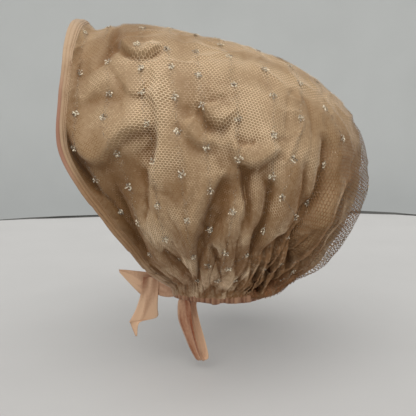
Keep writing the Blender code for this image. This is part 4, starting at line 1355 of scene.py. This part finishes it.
def build_knot(knot):
    """The knot as a wrapped ball with lengthwise folds."""
    turns = np.linspace(0, 2 * math.pi, 48, endpoint=False)
    levels = np.linspace(0.06, math.pi - 0.06, 25)
    turns, levels = np.meshgrid(turns, levels, indexing="xy")
    x, y = np.sin(levels) * np.cos(turns), np.sin(levels) * np.sin(turns)
    grid = np.stack([x, y, np.cos(levels)], -1)
    ridges = 1 + 0.05 * np.sin(9 * turns + 3 * levels) + 0.04 * np.sin(4 * turns)
    grid = knot + grid * np.array(KNOT_RADII) * 0.85 * ridges[..., None]
    uv = np.stack([turns, levels], -1) * 0.007
    faces = grid_quads(*grid.shape[:2], closed=True)
    values = {"shade": np.full(turns.shape, 0.4)}
    piece = new_piece("ribbon_knot", grid, faces, ribbon_material(), uv, values)
    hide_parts("bow_knot")


# Studio


def stage_material(name, colour, roughness, glow=0.0):
    """A plain surface, a little darker and paler from place to place."""
    material, tree, shader = new_material(name)
    darker = (*(c * 0.94 for c in colour), 1.0)
    paler = (*(min(c * 1.06, 1) for c in colour), 1.0)
    tint = mix_colour(tree, noise(tree, 6.0, 5.0), darker, paler)
    set_inputs(tree, shader, {
        "Base Color": tint,
        "Roughness": roughness,
        "Emission Color": tint,
        "Emission Strength": glow,
    })
    return material


def stage_plane(name, corners, material):
    """One flat face of the studio."""
    mesh = bpy.data.meshes.new(name)
    mesh.from_pydata([tuple(corner) for corner in corners], [], [tuple(range(len(corners)))])
    mesh.materials.append(material)
    plane = bpy.data.objects.new(name, mesh)
    bpy.context.scene.collection.objects.link(plane)


def sun_light(name, place, spread, power, colour):
    """A far, soft light that shines from a place towards the origin."""
    lamp = bpy.data.lights.new(name, "SUN")
    lamp.angle = math.radians(spread)
    lamp.energy = power
    lamp.color = colour
    light = bpy.data.objects.new(name, lamp)
    light.location = place
    light.rotation_euler = Vector(place).to_track_quat("Z", "Y").to_euler()
    bpy.context.scene.collection.objects.link(light)


def build_stage():
    """The floor with a painted shadow line along its far edge, the wall, the light and the camera."""
    studio = look("bonnet_studio")
    far = [Vector((x, y, FLOOR_Z)) for x, y in FLOOR_EDGE]
    near = [Vector((FLOOR_FRONT_X, place.y, FLOOR_Z)) for place in (far[0], far[-1])]
    stage_plane("floor", near + far[::-1], stage_material("pale_floor", tuple(studio.table), 0.5, 0.35))
    lip = [
        place + Vector((-LIP_DEPTH, 0.0, LIP_HEIGHT * share)) for place, share in zip(far, SHADOW_LINE_HEIGHTS)
    ]
    # A dark strip along the floor's far edge as a painted shadow line
    stage_plane("floor_edge_shadow", far + lip[::-1], stage_material("lip_shadow", (0.10, 0.10, 0.095), 0.9))
    wall = [(WALL_X, -4.0, -1.0), (WALL_X, 4.0, -1.0), (WALL_X, 4.0, 3.0), (WALL_X, -4.0, 3.0)]
    stage_plane("wall", wall, stage_material("pale_wall", tuple(studio.wall), 0.9))
    bpy.context.scene.view_settings.view_transform = "Standard"
    sun_light("key", KEY_FROM, KEY_SPREAD, studio.key, (1.0, 0.985, 0.95))
    world = bpy.context.scene.world or bpy.data.worlds.new("studio")
    bpy.context.scene.world = world
    world.use_nodes = True
    sky = world.node_tree.nodes["Background"]
    sky.inputs["Color"].default_value = (0.97, 0.98, 1.0, 1.0)
    sky.inputs["Strength"].default_value = 0.25
    camera = bpy.data.cameras.new("camera")
    camera.lens = studio.lens
    camera.sensor_width = 36.0
    view = bpy.data.objects.new("camera", camera)
    view.location = CAMERA_PLACE
    view.rotation_euler = (math.radians(90 - CAMERA_TILT), 0.0, math.radians(90))
    bpy.context.scene.collection.objects.link(view)
    bpy.context.scene.camera = view


class BONNET_OT_satin(bpy.types.Operator):
    """Makes the gathered satin and its lining"""

    bl_idname = "bonnet.satin"
    bl_label = "Satin"

    def execute(self, context):
        build_satin()
        return {"FINISHED"}


class BONNET_OT_net(bpy.types.Operator):
    """Makes the net of six-sided cells over the satin"""

    bl_idname = "bonnet.net"
    bl_label = "Net"

    def execute(self, context):
        build_net()
        return {"FINISHED"}


class BONNET_OT_flowers(bpy.types.Operator):
    """Makes the glitter flowers on the net"""

    bl_idname = "bonnet.flowers"
    bl_label = "Flowers"

    def execute(self, context):
        build_flowers()
        return {"FINISHED"}


class BONNET_OT_binding(bpy.types.Operator):
    """Makes the bound face edge"""

    bl_idname = "bonnet.binding"
    bl_label = "Binding"

    def execute(self, context):
        build_binding()
        return {"FINISHED"}


class BONNET_OT_casing(bpy.types.Operator):
    """Makes the neck casing"""

    bl_idname = "bonnet.casing"
    bl_label = "Casing"

    def execute(self, context):
        build_casing()
        return {"FINISHED"}


class BONNET_OT_ribbons(bpy.types.Operator):
    """Makes the ribbon ties, the bow and the hanging loop"""

    bl_idname = "bonnet.ribbons"
    bl_label = "Ribbons"

    def execute(self, context):
        build_ribbons()
        return {"FINISHED"}


class BONNET_OT_studio(bpy.types.Operator):
    """Makes the floor, the wall, the lights and the camera"""

    bl_idname = "bonnet.studio"
    bl_label = "Studio"

    def execute(self, context):
        build_stage()
        return {"FINISHED"}


STEPS = ("satin", "net", "flowers", "binding", "casing", "ribbons", "studio")


class BONNET_PT_panel(bpy.types.Panel):
    bl_label = "Bonnet"
    bl_idname = "BONNET_PT_panel"
    bl_space_type = "VIEW_3D"
    bl_region_type = "UI"
    bl_category = "Bonnet"

    def draw(self, context):
        for step in STEPS:
            self.layout.operator("bonnet." + step)


LOOKS = {
    "bonnet_satin": SatinLook,
    "bonnet_net": NetLook,
    "bonnet_trim": TrimLook,
    "bonnet_studio": StudioLook,
}
CLASSES = (
    *LOOKS.values(),
    BONNET_OT_satin,
    BONNET_OT_net,
    BONNET_OT_flowers,
    BONNET_OT_binding,
    BONNET_OT_casing,
    BONNET_OT_ribbons,
    BONNET_OT_studio,
    BONNET_PT_panel,
)


def register():
    for thing in CLASSES:
        bpy.utils.register_class(thing)
    for name, group in LOOKS.items():
        setattr(bpy.types.Scene, name, bpy.props.PointerProperty(type=group))


def unregister():
    for name in LOOKS:
        delattr(bpy.types.Scene, name)
    for thing in reversed(CLASSES):
        bpy.utils.unregister_class(thing)


def declare_sheets():
    """Gets the one sheet of the cloth."""
    sheet = cloth()


def main():
    register()
    for step in STEPS:
        getattr(bpy.ops.bonnet, step)()
    declare_sheets()
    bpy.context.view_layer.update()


if __name__ == "__main__":
    main()
